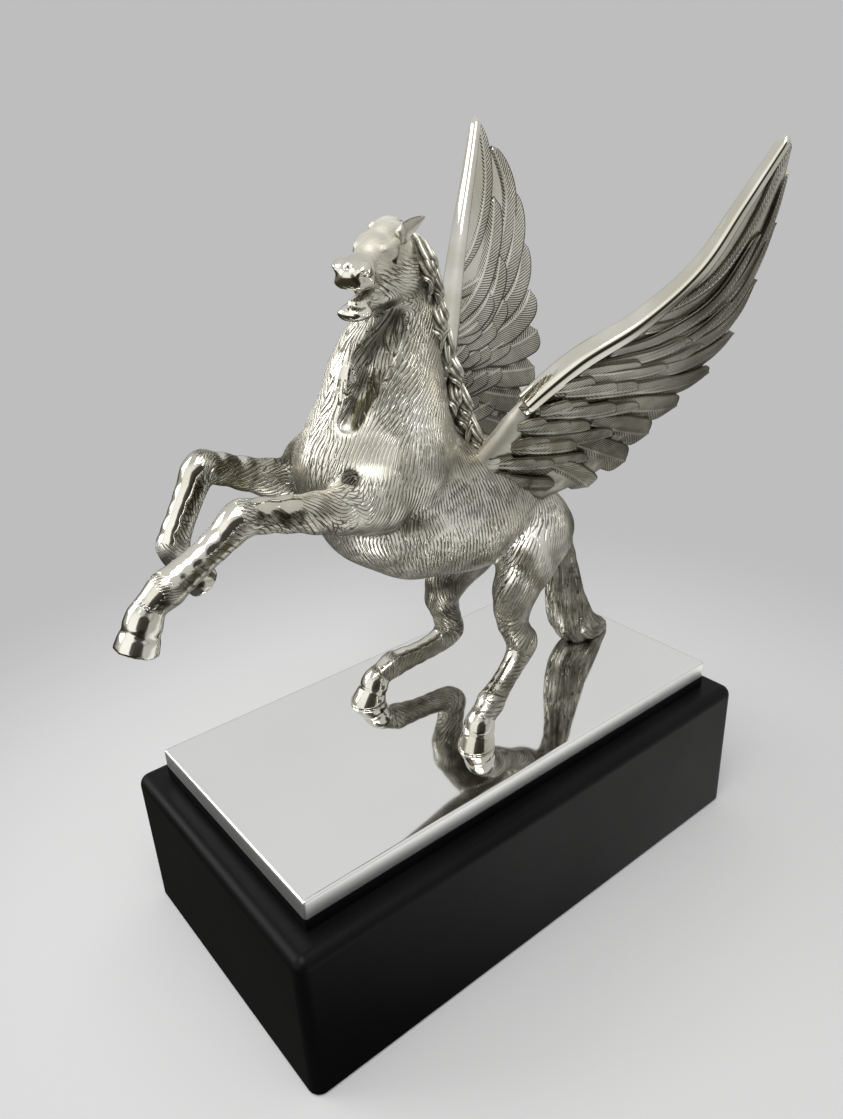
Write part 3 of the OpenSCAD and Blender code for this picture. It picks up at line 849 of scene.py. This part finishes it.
def shell_of(top, under):
    """A closed mesh from two grids of points with the same layout."""
    rows, columns = top.shape[:2]
    number = np.arange(rows * columns).reshape(rows, columns)
    a, b, c, d = number[:-1, :-1], number[1:, :-1], number[1:, 1:], number[:-1, 1:]
    quads = np.stack([a, b, c, d], -1).reshape(-1, 4)
    rim = np.concatenate([number[0, :-1], number[:-1, -1], number[-1, :0:-1], number[:0:-1, 0]])
    onward = np.roll(rim, -1)
    count = rows * columns
    sides = np.stack([rim, onward, onward + count, rim + count], -1)
    quads = np.concatenate([quads, quads[:, ::-1] + count, sides])
    faces = np.concatenate([quads[:, [0, 1, 2]], quads[:, [0, 2, 3]]])
    return np.vstack([top.reshape(-1, 3), under.reshape(-1, 3)]), faces


# On a feather, in millimetres; the crown's height is a share of the half width
QUILL_HEIGHT, QUILL_WIDTH, RIM_HEIGHT, RIM_WIDTH, CROWN = 0.42, 0.36, 0.26, 0.5, 0.066


def feather(start, end, wide, lift, thick=1.1, tilt=0.20, bend=0.6, faces_out=0, columns=15, rows=44):
    """A feather from start to end, both (u, v) on the sheet. Returns its mesh and barb places.

    faces_out is 0 for a flight feather seen from both sides, and 1 or -1 for a covert that
    lies on one side of the wing."""
    s = np.linspace(0, 1, rows)
    u = start[0] + (end[0] - start[0]) * (s * bend + s ** 2 * (1 - bend))
    v = start[1] + (end[1] - start[1]) * (s * (2 - bend) - s ** 2 * (1 - bend))
    spine, out = sheet(u, v), sheet_normal(u, v)
    way = unit(np.gradient(spine, axis=0))
    across = unit(np.cross(out, way))
    length = np.append(0, np.cumsum(np.linalg.norm(np.diff(spine, axis=0), axis=1)))
    rounding = np.sqrt(np.clip(1 - ((s - 0.80) / 0.20).clip(0, 1) ** 2, 0, 1))
    half = wide * (0.62 + 0.38 * step(s, 0, 0.45)) * rounding + 0.06
    t = np.linspace(-1, 1, columns)
    t = np.sign(t) * np.abs(t) ** 0.9
    spread = half[:, None] * t[None]
    quill = QUILL_HEIGHT * np.exp(-(spread / QUILL_WIDTH) ** 2) * (1 - step(s, 0.85, 1.0))[:, None]
    crown = CROWN * wide * (1 - t[None] ** 2)
    rim = RIM_HEIGHT * np.exp(-((1 - np.abs(t[None])) * half[:, None] / RIM_WIDTH) ** 2)
    base = spine[:, None] + across[:, None] * spread[..., None]
    slant, relief = tilt * spread, quill + crown + rim
    if faces_out:
        up = faces_out * (lift + relief + thick / 2 + slant)
        down = np.full_like(up, faces_out * 0.1)
        if faces_out < 0:
            up, down = down, up
    else:
        half_thick = thick / 2 * (1 - 0.75 * t[None] ** 6)
        up = slant + lift + relief + half_thick
        down = slant + lift - relief - half_thick
    top, under = base + out[:, None] * up[..., None], base + out[:, None] * down[..., None]
    points, faces = shell_of(top, under)
    edge = (half[:, None] - np.abs(spread)).clip(0, 2)
    barbs = np.stack([spread, np.repeat(length[:, None], columns, 1), edge], -1).reshape(-1, 3)
    return points, faces, np.vstack([barbs, barbs])


# Flight feathers, tip of the wing first: [(u, v) where it starts, (u, v) of its tip, half width]
FLIGHTS = [
    [(0.62, 0.10), (0.985, 0.55), 3.4], [(0.56, 0.12), (0.945, 0.99), 4.6],
    [(0.50, 0.14), (0.87, 1.0), 5.2], [(0.45, 0.16), (0.785, 1.0), 5.6],
    [(0.42, 0.26), (0.69, 1.0), 5.9], [(0.40, 0.36), (0.57, 1.0), 6.0],
    [(0.36, 0.46), (0.445, 1.0), 6.0], [(0.30, 0.48), (0.32, 1.0), 5.8],
    [(0.22, 0.46), (0.20, 1.0), 5.4], [(0.13, 0.42), (0.09, 0.99), 5.0],
]
# Coats of coverts: [count, first u, last u, start v, tip v, half width, slant of u]
COVERTS = [
    [8, 0.74, 0.07, 0.14, 0.68, 4.6, 0.10], [8, 0.55, 0.05, 0.12, 0.50, 4.4, 0.06],
    [7, 0.46, 0.04, 0.10, 0.35, 4.0, 0.04], [6, 0.38, 0.03, 0.08, 0.22, 3.6, 0.03],
]


def wing_feathers():
    """Every feather of a left wing: flight feathers, then four coats of coverts a side."""
    out = [feather(start, tip, wide, 0.0, 1.2, bend=0.8) for start, tip, wide in FLIGHTS]
    for side in (1, -1):
        for coat, (count, first, last, v0, v1, wide, slant) in enumerate(COVERTS):
            for k in range(count):
                t = k / (count - 1)
                u = first + (last - first) * t
                outer = step(u, 0.40, 0.75)
                start = (max(u - slant - 0.16 * outer, 0.01), v0 + 0.05 * (k % 2) - 0.02 * outer)
                end = (u + slant * (1 - t), v1 - 0.10 * outer + 0.03 * (k % 2))
                out.append(feather(start, end, wide * (1 - 0.15 * t), 0.55 + 0.40 * coat, 0.8,
                                   0.22 * side, 0.8, side, 13, 28))
    return out


def right_side(points):
    """Carries a left wing's points over to the raised, swung right wing."""
    root = np.array(WING_ROOT, float)
    turn = (Matrix.Rotation(math.radians(RIGHT_WING_SWING), 3, "Z")
            @ Matrix.Rotation(math.radians(RIGHT_WING_RAISE), 3, "X"))
    return (points * (1, -1, 1) - root) @ (np.array(turn).T * RIGHT_WING_SIZE) + root


# A distance to the feather's edge that no feather has, for the parts without barbs
NO_EDGE = 9.0


def make_wing(name, to_side, flip):
    """A wing casting: the bar, the arm, the blade and the feathers, as one piece."""
    bar, arm, blade = wing_bar(), wing_arm(), wing_blade()
    feathers = wing_feathers()
    points, faces = joined([bar, arm, blade] + [f[:2] for f in feathers])
    plain_count = len(bar[0]) + len(arm[0])
    no_barbs = np.tile((0, 0, NO_EDGE), (plain_count + len(blade[0]), 1))
    barbs = np.vstack([no_barbs] + [f[2] for f in feathers])
    bright = np.zeros(len(points))
    bright[:len(bar[0])] = 1
    # Painted shade: darker towards the wing's lower part, and more on the left wing than on the right
    shade_patina = 0.60 * step(points[:, 2], 132, 96) + (0.0 if flip else 0.22)
    plain = np.zeros(len(points))
    plain[len(bar[0]):plain_count] = 1
    # The bar and arm get a little of the same painted shade
    shade_patina[:plain_count] = 0.1
    points = to_side(points)
    piece = new_piece(name + "_casting", points, faces[:, ::-1] if flip else faces,
                      (name,))
    give_vectors(piece, "barb", barbs)
    give_numbers(piece, "bright", bright)
    give_numbers(piece, "shade_patina", shade_patina)
    give_numbers(piece, "plain", plain)
    piece.data.materials.append(feather_finish())


# ---------------------------------------------------------------- base
FOOT_BEVEL = 0.6 * MM


def box_between(low, high):
    """A box in mesh code between two corners, in metres."""
    bm = bmesh.new()
    bmesh.ops.create_cube(bm, size=1)
    for v in bm.verts:
        v.co = Vector(((low[i] + high[i]) / 2 + v.co[i] * (high[i] - low[i]) for i in range(3)))
    return bm


def base_piece(name, bm, replaced, finish_of):
    """The piece of the base that bm holds, in place of its CAD node."""
    mesh = bpy.data.meshes.new(name)
    bm.to_mesh(mesh)
    bm.free()
    shade_smooth(mesh)
    piece = in_scene(name, mesh)
    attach(piece, "root")
    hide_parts(replaced)
    mesh.materials.append(finish_of())
    return piece


def level_sides(piece):
    """Keeps the flat faces flat beside the rounded edges."""
    piece.modifiers.new("Flat sides", "WEIGHTED_NORMAL").keep_sharp = True


def rounded_block(name, low, high, radius, segments, replaced):
    """A lacquered block between two corners, with rounded edges and a small bevel at its foot."""
    bm = box_between(low, high)
    raised = [e for e in bm.edges if max(v.co.z for v in e.verts) > low.z + 1e-6]
    bmesh.ops.bevel(bm, geom=raised, offset=radius, segments=segments, profile=0.5, affect="EDGES")
    ground = [e for e in bm.edges if max(v.co.z for v in e.verts) < low.z + 1e-6]
    bmesh.ops.bevel(bm, geom=ground, offset=FOOT_BEVEL, segments=2, profile=0.5, affect="EDGES")
    level_sides(base_piece(name, bm, replaced, lacquer_finish))


def make_plinth():
    low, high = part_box("plinth")
    rounded_block("plinth_block", low, high, 4 * MM, 8, "plinth")


def make_board():
    """The board, up to just inside the plate's skirt."""
    low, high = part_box("riser_board")
    high = Vector((high.x, high.y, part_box("top_plate")[0].z + 0.2 * MM))
    rounded_block("riser_board_block", low, high, 0.5 * MM, 3, "riser_board")


def make_plate():
    """The folded plate: a sheet with rolled edges, open underneath."""
    thick, roll = 1.2 * MM, 1.0 * MM
    bm = box_between(*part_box("top_plate"))
    bottom = [f for f in bm.faces if f.normal.z < -0.9]
    bmesh.ops.delete(bm, geom=bottom, context="FACES_ONLY")
    edges = [e for e in bm.edges if not e.is_boundary]
    bmesh.ops.bevel(bm, geom=edges, offset=roll, segments=5, profile=0.5, affect="EDGES")
    piece = base_piece("top_plate_shell", bm, "top_plate", mirror_finish)
    wall = piece.modifiers.new("Metal thickness", "SOLIDIFY")
    wall.thickness = thick
    wall.offset = -1
    level_sides(piece)


# ---------------------------------------------------------------- node helpers
class Nodes:
    """Short ways to add and join shader nodes in one tree."""

    def __init__(self, tree):
        self.tree = tree

    def add(self, kind, **settings):
        node = self.tree.nodes.new(kind)
        for key, value in settings.items():
            setattr(node, key, value)
        return node

    def link(self, out, into):
        self.tree.links.new(out, into)

    def feed(self, socket, value):
        if isinstance(value, bpy.types.NodeSocket):
            self.link(value, socket)
        else:
            socket.default_value = value

    def maths(self, operation, *values, clamp=False):
        node = self.add("ShaderNodeMath", operation=operation, use_clamp=clamp)
        for socket, value in zip(node.inputs, values):
            self.feed(socket, value)
        return node.outputs[0]

    def vector(self, operation, *values, scale=None):
        node = self.add("ShaderNodeVectorMath", operation=operation)
        for socket, value in zip(node.inputs, values):
            self.feed(socket, value)
        if scale is not None:
            self.feed(node.inputs["Scale"], scale)
        name = "Value" if operation in ("DOT_PRODUCT", "LENGTH", "DISTANCE") else "Vector"
        return node.outputs[name]

    def spread(self, value, low, high, to_low=0.0, to_high=1.0):
        node = self.add("ShaderNodeMapRange", interpolation_type="SMOOTHSTEP")
        for name, v in (("Value", value), ("From Min", low), ("From Max", high),
                        ("To Min", to_low), ("To Max", to_high)):
            self.feed(node.inputs[name], v)
        return node.outputs["Result"]

    def noise(self, place, scale, detail=3.0, roughness=0.5):
        node = self.add("ShaderNodeTexNoise")
        self.feed(node.inputs["Vector"], place)
        for name, v in (("Scale", scale), ("Detail", detail), ("Roughness", roughness)):
            self.feed(node.inputs[name], v)
        return node.outputs["Fac"]

    def mix(self, fraction, a, b):
        node = self.add("ShaderNodeMix", data_type="RGBA")
        self.feed(node.inputs["Factor"], fraction)
        self.feed(node.inputs[6], a)
        self.feed(node.inputs[7], b)
        return node.outputs[2]

    def attribute(self, name):
        return self.add("ShaderNodeAttribute", attribute_name=name).outputs

    def place(self):
        return self.add("ShaderNodeTexCoord").outputs["Object"]

    def group(self, group, **inputs):
        node = self.add("ShaderNodeGroup", node_tree=group)
        for name, value in inputs.items():
            self.feed(node.inputs[name.replace("_", " ")], value)
        return node.outputs


def new_group(name, inputs, outputs):
    """An empty shader node group with named sockets, and its two ends."""
    tree = bpy.data.node_groups.new(name, "ShaderNodeTree")
    for label, kind, default in inputs:
        socket = tree.interface.new_socket(label, in_out="INPUT", socket_type=kind)
        if default is not None:
            socket.default_value = default
    for label, kind in outputs:
        tree.interface.new_socket(label, in_out="OUTPUT", socket_type=kind)
    n = Nodes(tree)
    return tree, n, n.add("NodeGroupInput").outputs, n.add("NodeGroupOutput").inputs


VEC, NUM, COL = "NodeSocketVector", "NodeSocketFloat", "NodeSocketColor"


def hair_coat(n, place, given, shift):
    """One coat of chisel strokes: patches of parallel cuts that run with the hair."""
    moved = n.vector("ADD", place, shift)
    cells = n.add("ShaderNodeTexVoronoi", feature="F1")
    n.link(moved, cells.inputs["Vector"])
    n.feed(cells.inputs["Scale"], n.maths("DIVIDE", 1.0, given["Patch"]))
    normal = n.add("ShaderNodeNewGeometry").outputs["Normal"]
    across = n.vector("NORMALIZE", n.vector("CROSS_PRODUCT", normal, given["Lie"]))
    chance = n.add("ShaderNodeSeparateColor")
    n.link(cells.outputs["Color"], chance.inputs[0])
    sway = n.maths("MULTIPLY", n.maths("SUBTRACT", chance.outputs[0], 0.5), 0.36)
    turned = n.vector("ADD", across, n.vector("SCALE", given["Lie"], scale=sway))
    local = n.vector("SUBTRACT", moved, cells.outputs["Position"])
    drift = n.maths("MULTIPLY", n.noise(moved, 130.0, 1.0), 0.0005)
    offset = n.maths("ADD", n.vector("DOT_PRODUCT", local, turned), drift)
    row = n.maths("ADD", n.maths("DIVIDE", offset, given["Pitch"]), chance.outputs[1])
    groove = n.spread(n.maths("PINGPONG", row, 0.5), 0.20, 0.03)
    # The strokes worn shallower in patches
    patchy = n.spread(n.noise(moved, 420.0, 1.0), 0.34, 0.52, 0.45, 1.0)
    edge = n.spread(cells.outputs["Distance"], 0.78, 0.56)
    return n.maths("MULTIPLY", n.maths("MULTIPLY", groove, patchy), edge)


def hair_strokes_group():
    """Two coats of chisel strokes, the second filling the gaps of the first."""
    tree, n, given, out = new_group(
        "Chased hair", [("Lie", VEC, None), ("Patch", NUM, 0.005), ("Pitch", NUM, 0.001)],
        [("Height", NUM), ("Groove", NUM)])
    place = n.place()
    first = hair_coat(n, place, given, (0.0, 0.0, 0.0))
    second = hair_coat(n, place, given, (0.137, 0.071, 0.213))
    cover = n.spread(first, 0.0, 0.2)
    cut = n.maths("ADD", first, n.maths("MULTIPLY", second, n.maths("SUBTRACT", 1.0, cover)),
                  clamp=True)
    n.link(cut, out["Groove"])
    n.link(n.maths("SUBTRACT", 1.0, cut), out["Height"])
    return tree


def barb_group():
    """The slanting barbs of a feather, either side of its quill."""
    tree, n, given, out = new_group(
        "Feather barbs", [("Barb", VEC, None), ("Pitch", NUM, 1.0), ("Slope", NUM, 1.1)],
        [("Height", NUM), ("Groove", NUM), ("Quill", NUM)])
    parts = n.add("ShaderNodeSeparateXYZ")
    n.link(given["Barb"], parts.inputs[0])
    off = n.maths("ABSOLUTE", parts.outputs[0])
    run = n.maths("SUBTRACT", parts.outputs[1], n.maths("MULTIPLY", off, given["Slope"]))
    wander = n.maths("MULTIPLY", n.noise(n.place(), 170.0, 2.0), 0.9)
    row = n.maths("DIVIDE", n.maths("ADD", run, wander), given["Pitch"])
    wave = n.maths("PINGPONG", row, 0.5)
    quill = n.spread(off, 0.55, 0.3)
    cut = n.maths("MULTIPLY", n.spread(wave, 0.30, 0.10), n.maths("SUBTRACT", 1.0, quill))
    groove = n.maths("MAXIMUM", cut, n.spread(parts.outputs[2], 0.55, 0.15))
    n.link(groove, out["Groove"])
    n.link(n.maths("SUBTRACT", 1.0, groove), out["Height"])
    n.link(quill, out["Quill"])
    return tree


def plating_group():
    """Plated metal: clouded, finely pitted, aged in the grooves, and darkened in places with painted
    shade and patina, down to near black.
    """
    tree, n, given, out = new_group(
        "Plating", [("Groove", NUM, 0.0), ("Bright", NUM, 0.0), ("ShadePatina", NUM, 0.0),
                    ("Matt", NUM, 0.0)],
        [("Color", COL), ("Roughness", NUM), ("Height", NUM)])
    place = n.place()
    cloud = n.spread(n.noise(place, 45.0, 3.0), 0.35, 0.68)
    fine = n.noise(place, 900.0, 2.0)
    clean = n.mix(cloud, (0.62, 0.595, 0.51, 1), (0.79, 0.775, 0.71, 1))
    aged = n.mix(cloud, (0.040, 0.034, 0.018, 1), (0.13, 0.115, 0.075, 1))
    dull = n.maths("MULTIPLY", given["Groove"], n.maths("SUBTRACT", 1.0, given["Bright"]))
    # The colour of painted shade and patina
    shade_patina_colour = n.mix(cloud, (0.028, 0.026, 0.013, 1), (0.13, 0.12, 0.072, 1))
    blotch = n.spread(n.noise(place, 160.0, 3.0), 0.30, 0.62, 0.60, 1.0)
    kept = n.maths("SUBTRACT", 1.0, n.maths("MULTIPLY", given["Bright"], 0.85))
    # How much painted shade and patina, in blotches, kept off the polished parts
    patchy = n.maths("MULTIPLY", n.maths("MULTIPLY", given["ShadePatina"], blotch), kept)
    shade_patina = n.mix(n.maths("MINIMUM", patchy, 1.0), clean, shade_patina_colour)
    coated = n.mix(n.maths("MULTIPLY", dull, 0.90), shade_patina, aged)
    # Near-black painted shade with patina, for the darkest places
    deepest_shade_colour = n.mix(n.maths("MULTIPLY", dull, 0.42), (0.014, 0.013, 0.008, 1), clean)
    n.link(n.mix(n.spread(given["ShadePatina"], 1.0, 1.7, 0.0, 0.97), coated, deepest_shade_colour), out["Color"])
    rough = n.maths("ADD", 0.27, n.maths("MULTIPLY", cloud, 0.09))
    rough = n.maths("ADD", rough, n.maths("MULTIPLY", fine, 0.10))
    rough = n.maths("ADD", rough, n.maths("MULTIPLY", given["Matt"], 0.20))
    shine = n.maths("MULTIPLY", given["Bright"], 0.80)
    n.link(n.maths("MULTIPLY", rough, n.maths("SUBTRACT", 1.0, shine)), out["Roughness"])
    grain = n.maths("MULTIPLY", fine, n.maths("SUBTRACT", 1.0, given["Bright"]))
    n.link(grain, out["Height"])
    return tree


GROUPS = {}


def group(make):
    """The node group that make builds, built once."""
    if make.__name__ not in GROUPS:
        GROUPS[make.__name__] = make()
    return GROUPS[make.__name__]


FINISHES = {}


def finish(name, build):
    """The material of that name, built once. build fills its tree."""
    if name not in FINISHES:
        made = bpy.data.materials.new(name)
        made.use_nodes = True
        made.node_tree.nodes.clear()
        n = Nodes(made.node_tree)
        shader = n.add("ShaderNodeBsdfPrincipled")
        n.link(shader.outputs[0], n.add("ShaderNodeOutputMaterial").inputs[0])
        build(n, shader)
        FINISHES[name] = made
    return FINISHES[name]


def bump(n, shader, height, depth):
    """Bumps the surface by a height from 0 to 1, with depth in metres."""
    node = n.add("ShaderNodeBump")
    node.inputs["Distance"].default_value = depth
    node.inputs["Strength"].default_value = 1.0
    n.link(height, node.inputs["Height"])
    n.link(node.outputs[0], shader.inputs["Normal"])


def plate_over(n, shader, groove, bright, height, depth, shade_patina=0.0, matt=0.0):
    """Wires the plating over a chased height, with depth in metres."""
    metal = n.group(group(plating_group), Groove=groove, Bright=bright, ShadePatina=shade_patina, Matt=matt)
    n.link(metal["Color"], shader.inputs["Base Color"])
    n.link(metal["Roughness"], shader.inputs["Roughness"])
    shader.inputs["Metallic"].default_value = 1.0
    total = n.maths("ADD", height, n.maths("MULTIPLY", metal["Height"], 0.10))
    bump(n, shader, total, depth)


def casting_finish():
    def build(n, shader):
        bright = n.attribute("bright")["Fac"]
        hair = n.group(group(hair_strokes_group), Lie=n.attribute("hair")["Vector"],
                       Patch=0.0100, Pitch=0.00124)
        plain = n.attribute("plain")["Fac"]
        chased = n.maths("MULTIPLY", n.spread(bright, 0.85, 0.55), n.spread(plain, 0.9, 0.2))
        groove = n.maths("MULTIPLY", hair["Groove"], chased)
        height = n.maths("SUBTRACT", 1.0, groove)
        plate_over(n, shader, groove, bright, height, 0.00034, n.attribute("shade_patina")["Fac"], plain)
    return finish("Chased plated casting", build)


def lock_finish():
    def build(n, shader):
        stretch = n.noise(n.place(), 300.0, 2.0)
        height = n.spread(stretch, 0.3, 0.7)
        plate_over(n, shader, n.attribute("valley")["Fac"], 0.0, height, 0.00006, 0.15, 0.5)
    return finish("Plated mane locks", build)


def feather_finish():
    def build(n, shader):
        bright = n.attribute("bright")["Fac"]
        barbs = n.group(group(barb_group), Barb=n.attribute("barb")["Vector"], Pitch=1.3, Slope=1.2)
        groove = n.maths("MULTIPLY", barbs["Groove"], n.maths("SUBTRACT", 1.0, bright))
        height = n.maths("SUBTRACT", 1.0, groove)
        plate_over(n, shader, groove, bright, height, 0.00042, n.attribute("shade_patina")["Fac"],
                   n.attribute("plain")["Fac"])
    return finish("Plated feathers", build)


def mirror_finish():
    def build(n, shader):
        place = n.place()
        haze = n.noise(place, 22.0, 4.0)
        stretched = n.vector("MULTIPLY", place, (40.0, 900.0, 40.0))
        lines = n.noise(stretched, 1.0, 2.0)
        tone = n.mix(haze, (0.80, 0.80, 0.79, 1), (0.86, 0.86, 0.85, 1))
        facing = n.add("ShaderNodeSeparateXYZ")
        n.link(n.add("ShaderNodeNewGeometry").outputs["Normal"], facing.inputs[0])
        # Painted light: the plate's side faces get a lighter colour than its top, and also a rougher
        # finish
        skirt = n.spread(facing.outputs["Z"], 0.75, 0.35)
        n.link(n.mix(skirt, tone, (0.95, 0.95, 0.93, 1)), shader.inputs["Base Color"])
        rough = n.maths("ADD", 0.035, n.maths("MULTIPLY", n.spread(haze, 0.4, 0.8), 0.03))
        rough = n.maths("ADD", rough, n.maths("MULTIPLY", lines, 0.015))
        n.link(n.maths("ADD", rough, n.maths("MULTIPLY", skirt, 0.34)), shader.inputs["Roughness"])
        shader.inputs["Metallic"].default_value = 1.0
        bump(n, shader, n.noise(place, 9.0, 1.0), 0.00002)
    return finish("Mirror-polished plate", build)


def lacquer_finish():
    def build(n, shader):
        place = n.place()
        orange_peel = n.noise(place, 700.0, 2.0)
        wiped = n.spread(n.noise(place, 14.0, 4.0), 0.35, 0.7)
        n.link(n.mix(wiped, (0.0022, 0.0024, 0.0023, 1), (0.0040, 0.0043, 0.0040, 1)),
               shader.inputs["Base Color"])
        n.link(n.maths("ADD", 0.36, n.maths("MULTIPLY", wiped, 0.12)), shader.inputs["Roughness"])
        shader.inputs["Specular IOR Level"].default_value = 0.09
        bump(n, shader, orange_peel, 0.00004)
    return finish("Black satin lacquer", build)


def felt_finish():
    def build(n, shader):
        fibres = n.noise(n.place(), 1500.0, 4.0, 0.7)
        n.link(n.mix(fibres, (0.008, 0.008, 0.008, 1), (0.04, 0.04, 0.04, 1)),
               shader.inputs["Base Color"])
        shader.inputs["Roughness"].default_value = 0.95
        shader.inputs["Sheen Weight"].default_value = 0.4
        bump(n, shader, fibres, 0.0002)
    return finish("Black felt", build)


def zinc_finish():
    def build(n, shader):
        place = n.place()
        spangle = n.noise(place, 300.0, 3.0)
        n.link(n.mix(spangle, (0.50, 0.50, 0.47, 1), (0.66, 0.66, 0.62, 1)),
               shader.inputs["Base Color"])
        n.link(n.spread(spangle, 0.2, 0.8, 0.28, 0.42), shader.inputs["Roughness"])
        shader.inputs["Metallic"].default_value = 1.0
        turns = n.add("ShaderNodeSeparateXYZ")
        n.link(place, turns.inputs[0])
        pitch = n.maths("PINGPONG", n.maths("DIVIDE", turns.outputs[2], 0.0007), 0.5)
        bump(n, shader, pitch, 0.0002)
    return finish("Zinc-plated steel", build)


def dress_hidden_nodes():
    """Finishes for the CAD pieces that stay as they are."""
    wanted = {"felt_pad": felt_finish, "left_hoof_stud": zinc_finish, "right_hoof_stud": zinc_finish,
              "tail_stud": zinc_finish, "stud_washers": zinc_finish, "stud_nuts": zinc_finish}
    for name, make in wanted.items():
        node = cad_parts[name]
        node.data.materials.clear()
        node.data.materials.append(make())


# ---------------------------------------------------------------- studio
BACKDROP = (0.515, 0.515, 0.518, 1)
CAMERA_AT = (-171.06, -210.67, 252.85)
CAMERA_WAY = (0.5514, 0.7169, -0.4267)
CAMERA_UP = (0.3002, 0.3067, 0.9032)
CAMERA_LENS = 28.43


def make_camera():
    data = bpy.data.cameras.new("Camera")
    data.lens, data.sensor_width = CAMERA_LENS, 36
    data.clip_start = 0.01
    camera = in_scene("Camera", data)
    way, up = unit(CAMERA_WAY), np.array(CAMERA_UP)
    right = unit(np.cross(way, up))
    turn = np.column_stack([right, np.cross(right, way), -way])
    camera.matrix_world = Matrix.Translation(Vector(CAMERA_AT) * MM) @ Matrix(turn.tolist()).to_4x4()
    bpy.context.scene.camera = camera


def make_floor():
    """A square floor under the plinth, with its reach in metres."""
    mesh = bpy.data.meshes.new("floor")
    reach = 6.0
    corners = [(-reach, -reach, 0), (reach, -reach, 0), (reach, reach, 0), (-reach, reach, 0)]
    mesh.from_pydata(corners, [], [(0, 1, 2, 3)])
    floor = in_scene("floor", mesh)
    mesh.materials.append(finish("Pale floor", floor_look))


def floor_look(n, shader):
    """Matt and pale near the trophy, thinning out into the backdrop further away.

    In reflections it shows a painted patch of light at the right and painted black elsewhere."""
    place = n.place()
    pale = n.mix(n.noise(place, 3.0), (0.50, 0.50, 0.50, 1), (0.53, 0.53, 0.53, 1))
    # Painted light at the right and painted black elsewhere, which only reflections see
    right = n.spread(n.vector("DOT_PRODUCT", place, (0.6, -0.8, 0.0)), 0.0, 0.10, 0.06, 1.0)
    painted_floor_in_reflections = n.mix(right, (0.0, 0.0, 0.0, 1), (0.95, 0.95, 0.94, 1))
    direct = n.add("ShaderNodeLightPath").outputs["Is Camera Ray"]
    n.link(n.mix(direct, painted_floor_in_reflections, pale), shader.inputs["Base Color"])
    shader.inputs["Roughness"].default_value = 0.9
    shader.inputs["Specular IOR Level"].default_value = 0.1
    n.link(n.spread(n.vector("LENGTH", place), 0.11, 0.34, 0.9, 0.0), shader.inputs["Alpha"])


# Where the room's lit table, its bright window and the dark gap beside the camera lie
TABLE_WAY, WINDOW_WAY, GAP_WAY = (0.60, -0.80, 0.0), (-0.93, -0.25, 0.27), (-0.40, -0.91, 0.10)
# The tent's brightness from straight down to straight up
TENT = [(0.0, (0.035, 0.031, 0.019)), (0.40, (0.050, 0.045, 0.028)), (0.47, (0.16, 0.15, 0.12)),
        (0.53, (0.46, 0.455, 0.42)), (0.62, (0.66, 0.66, 0.65)), (1.0, (0.84, 0.84, 0.84))]


def room_tone(n, way):
    """The room's brightness by direction, as the metal reflects it."""
    parts = n.add("ShaderNodeSeparateXYZ")
    n.link(way, parts.inputs[0])
    height = parts.outputs[2]
    ramp = n.add("ShaderNodeValToRGB")
    while len(ramp.color_ramp.elements) < len(TENT):
        ramp.color_ramp.elements.new(0.5)
    for element, (place, tone) in zip(ramp.color_ramp.elements, TENT):
        element.position = place
        element.color = (*tone, 1)
    n.link(n.maths("MULTIPLY_ADD", height, 0.5, 0.5), ramp.inputs[0])
    flank = n.spread(n.vector("DOT_PRODUCT", way, TABLE_WAY), 0.55, 0.80)
    table = n.maths("MULTIPLY", flank, n.spread(height, -0.72, -0.50))
    table = n.maths("MULTIPLY", table, n.spread(height, 0.1, -0.1))
    lit = n.mix(table, ramp.outputs[0], (0.58, 0.58, 0.57, 1))
    window = n.spread(n.vector("DOT_PRODUCT", way, WINDOW_WAY), 0.72, 0.90)
    window = n.maths("MULTIPLY", window, n.spread(height, -0.14, -0.02))
    lit = n.mix(window, lit, (1.25, 1.25, 1.22, 1))
    gap = n.spread(n.vector("DOT_PRODUCT", way, GAP_WAY), 0.80, 0.90)
    gap = n.maths("MULTIPLY", gap, n.spread(height, 0.80, 0.50))
    return n.mix(n.maths("MULTIPLY", gap, 0.93), lit, (0.020, 0.018, 0.010, 1))


def make_world():
    """The room as reflections see it, and the plain backdrop as the camera sees it."""
    world = bpy.data.worlds.new("Studio")
    bpy.context.scene.world = world
    world.use_nodes = True
    world.node_tree.nodes.clear()
    n = Nodes(world.node_tree)
    seen = n.add("ShaderNodeBackground")
    n.feed(seen.inputs[0], BACKDROP)
    lit = n.add("ShaderNodeBackground")
    n.link(room_tone(n, n.add("ShaderNodeTexCoord").outputs["Generated"]), lit.inputs[0])
    choose = n.add("ShaderNodeMixShader")
    n.link(n.add("ShaderNodeLightPath").outputs["Is Camera Ray"], choose.inputs[0])
    n.link(lit.outputs[0], choose.inputs[1])
    n.link(seen.outputs[0], choose.inputs[2])
    n.link(choose.outputs[0], n.add("ShaderNodeOutputWorld").inputs[0])


def make_light(name, at, aim, size, power):
    """A square softbox of that size in metres and power in watts."""
    data = bpy.data.lights.new(name, "AREA")
    data.shape, data.size, data.size_y = "RECTANGLE", size, size
    data.energy = power
    light = in_scene(name, data)
    light.location = at
    light.rotation_euler = (Vector(aim) - Vector(at)).to_track_quat("-Z", "Y").to_euler()


def make_studio():
    bpy.context.scene.view_settings.view_transform = "Standard"
    make_camera()
    make_floor()
    make_world()
    make_light("overhead softbox", (-0.35, -0.35, 1.25), (0, 0, 0.1), 0.7, 11)
    make_light("back left softbox", (-0.9, 0.85, 0.8), (0, 0, 0.15), 0.8, 9)


# ---------------------------------------------------------------- everything
make_studio()
make_castings()
make_mane()
make_ears()
make_wing("left_wing", lambda points: points, False)
make_wing("right_wing", right_side, True)
make_plinth()
make_board()
make_plate()
dress_hidden_nodes()
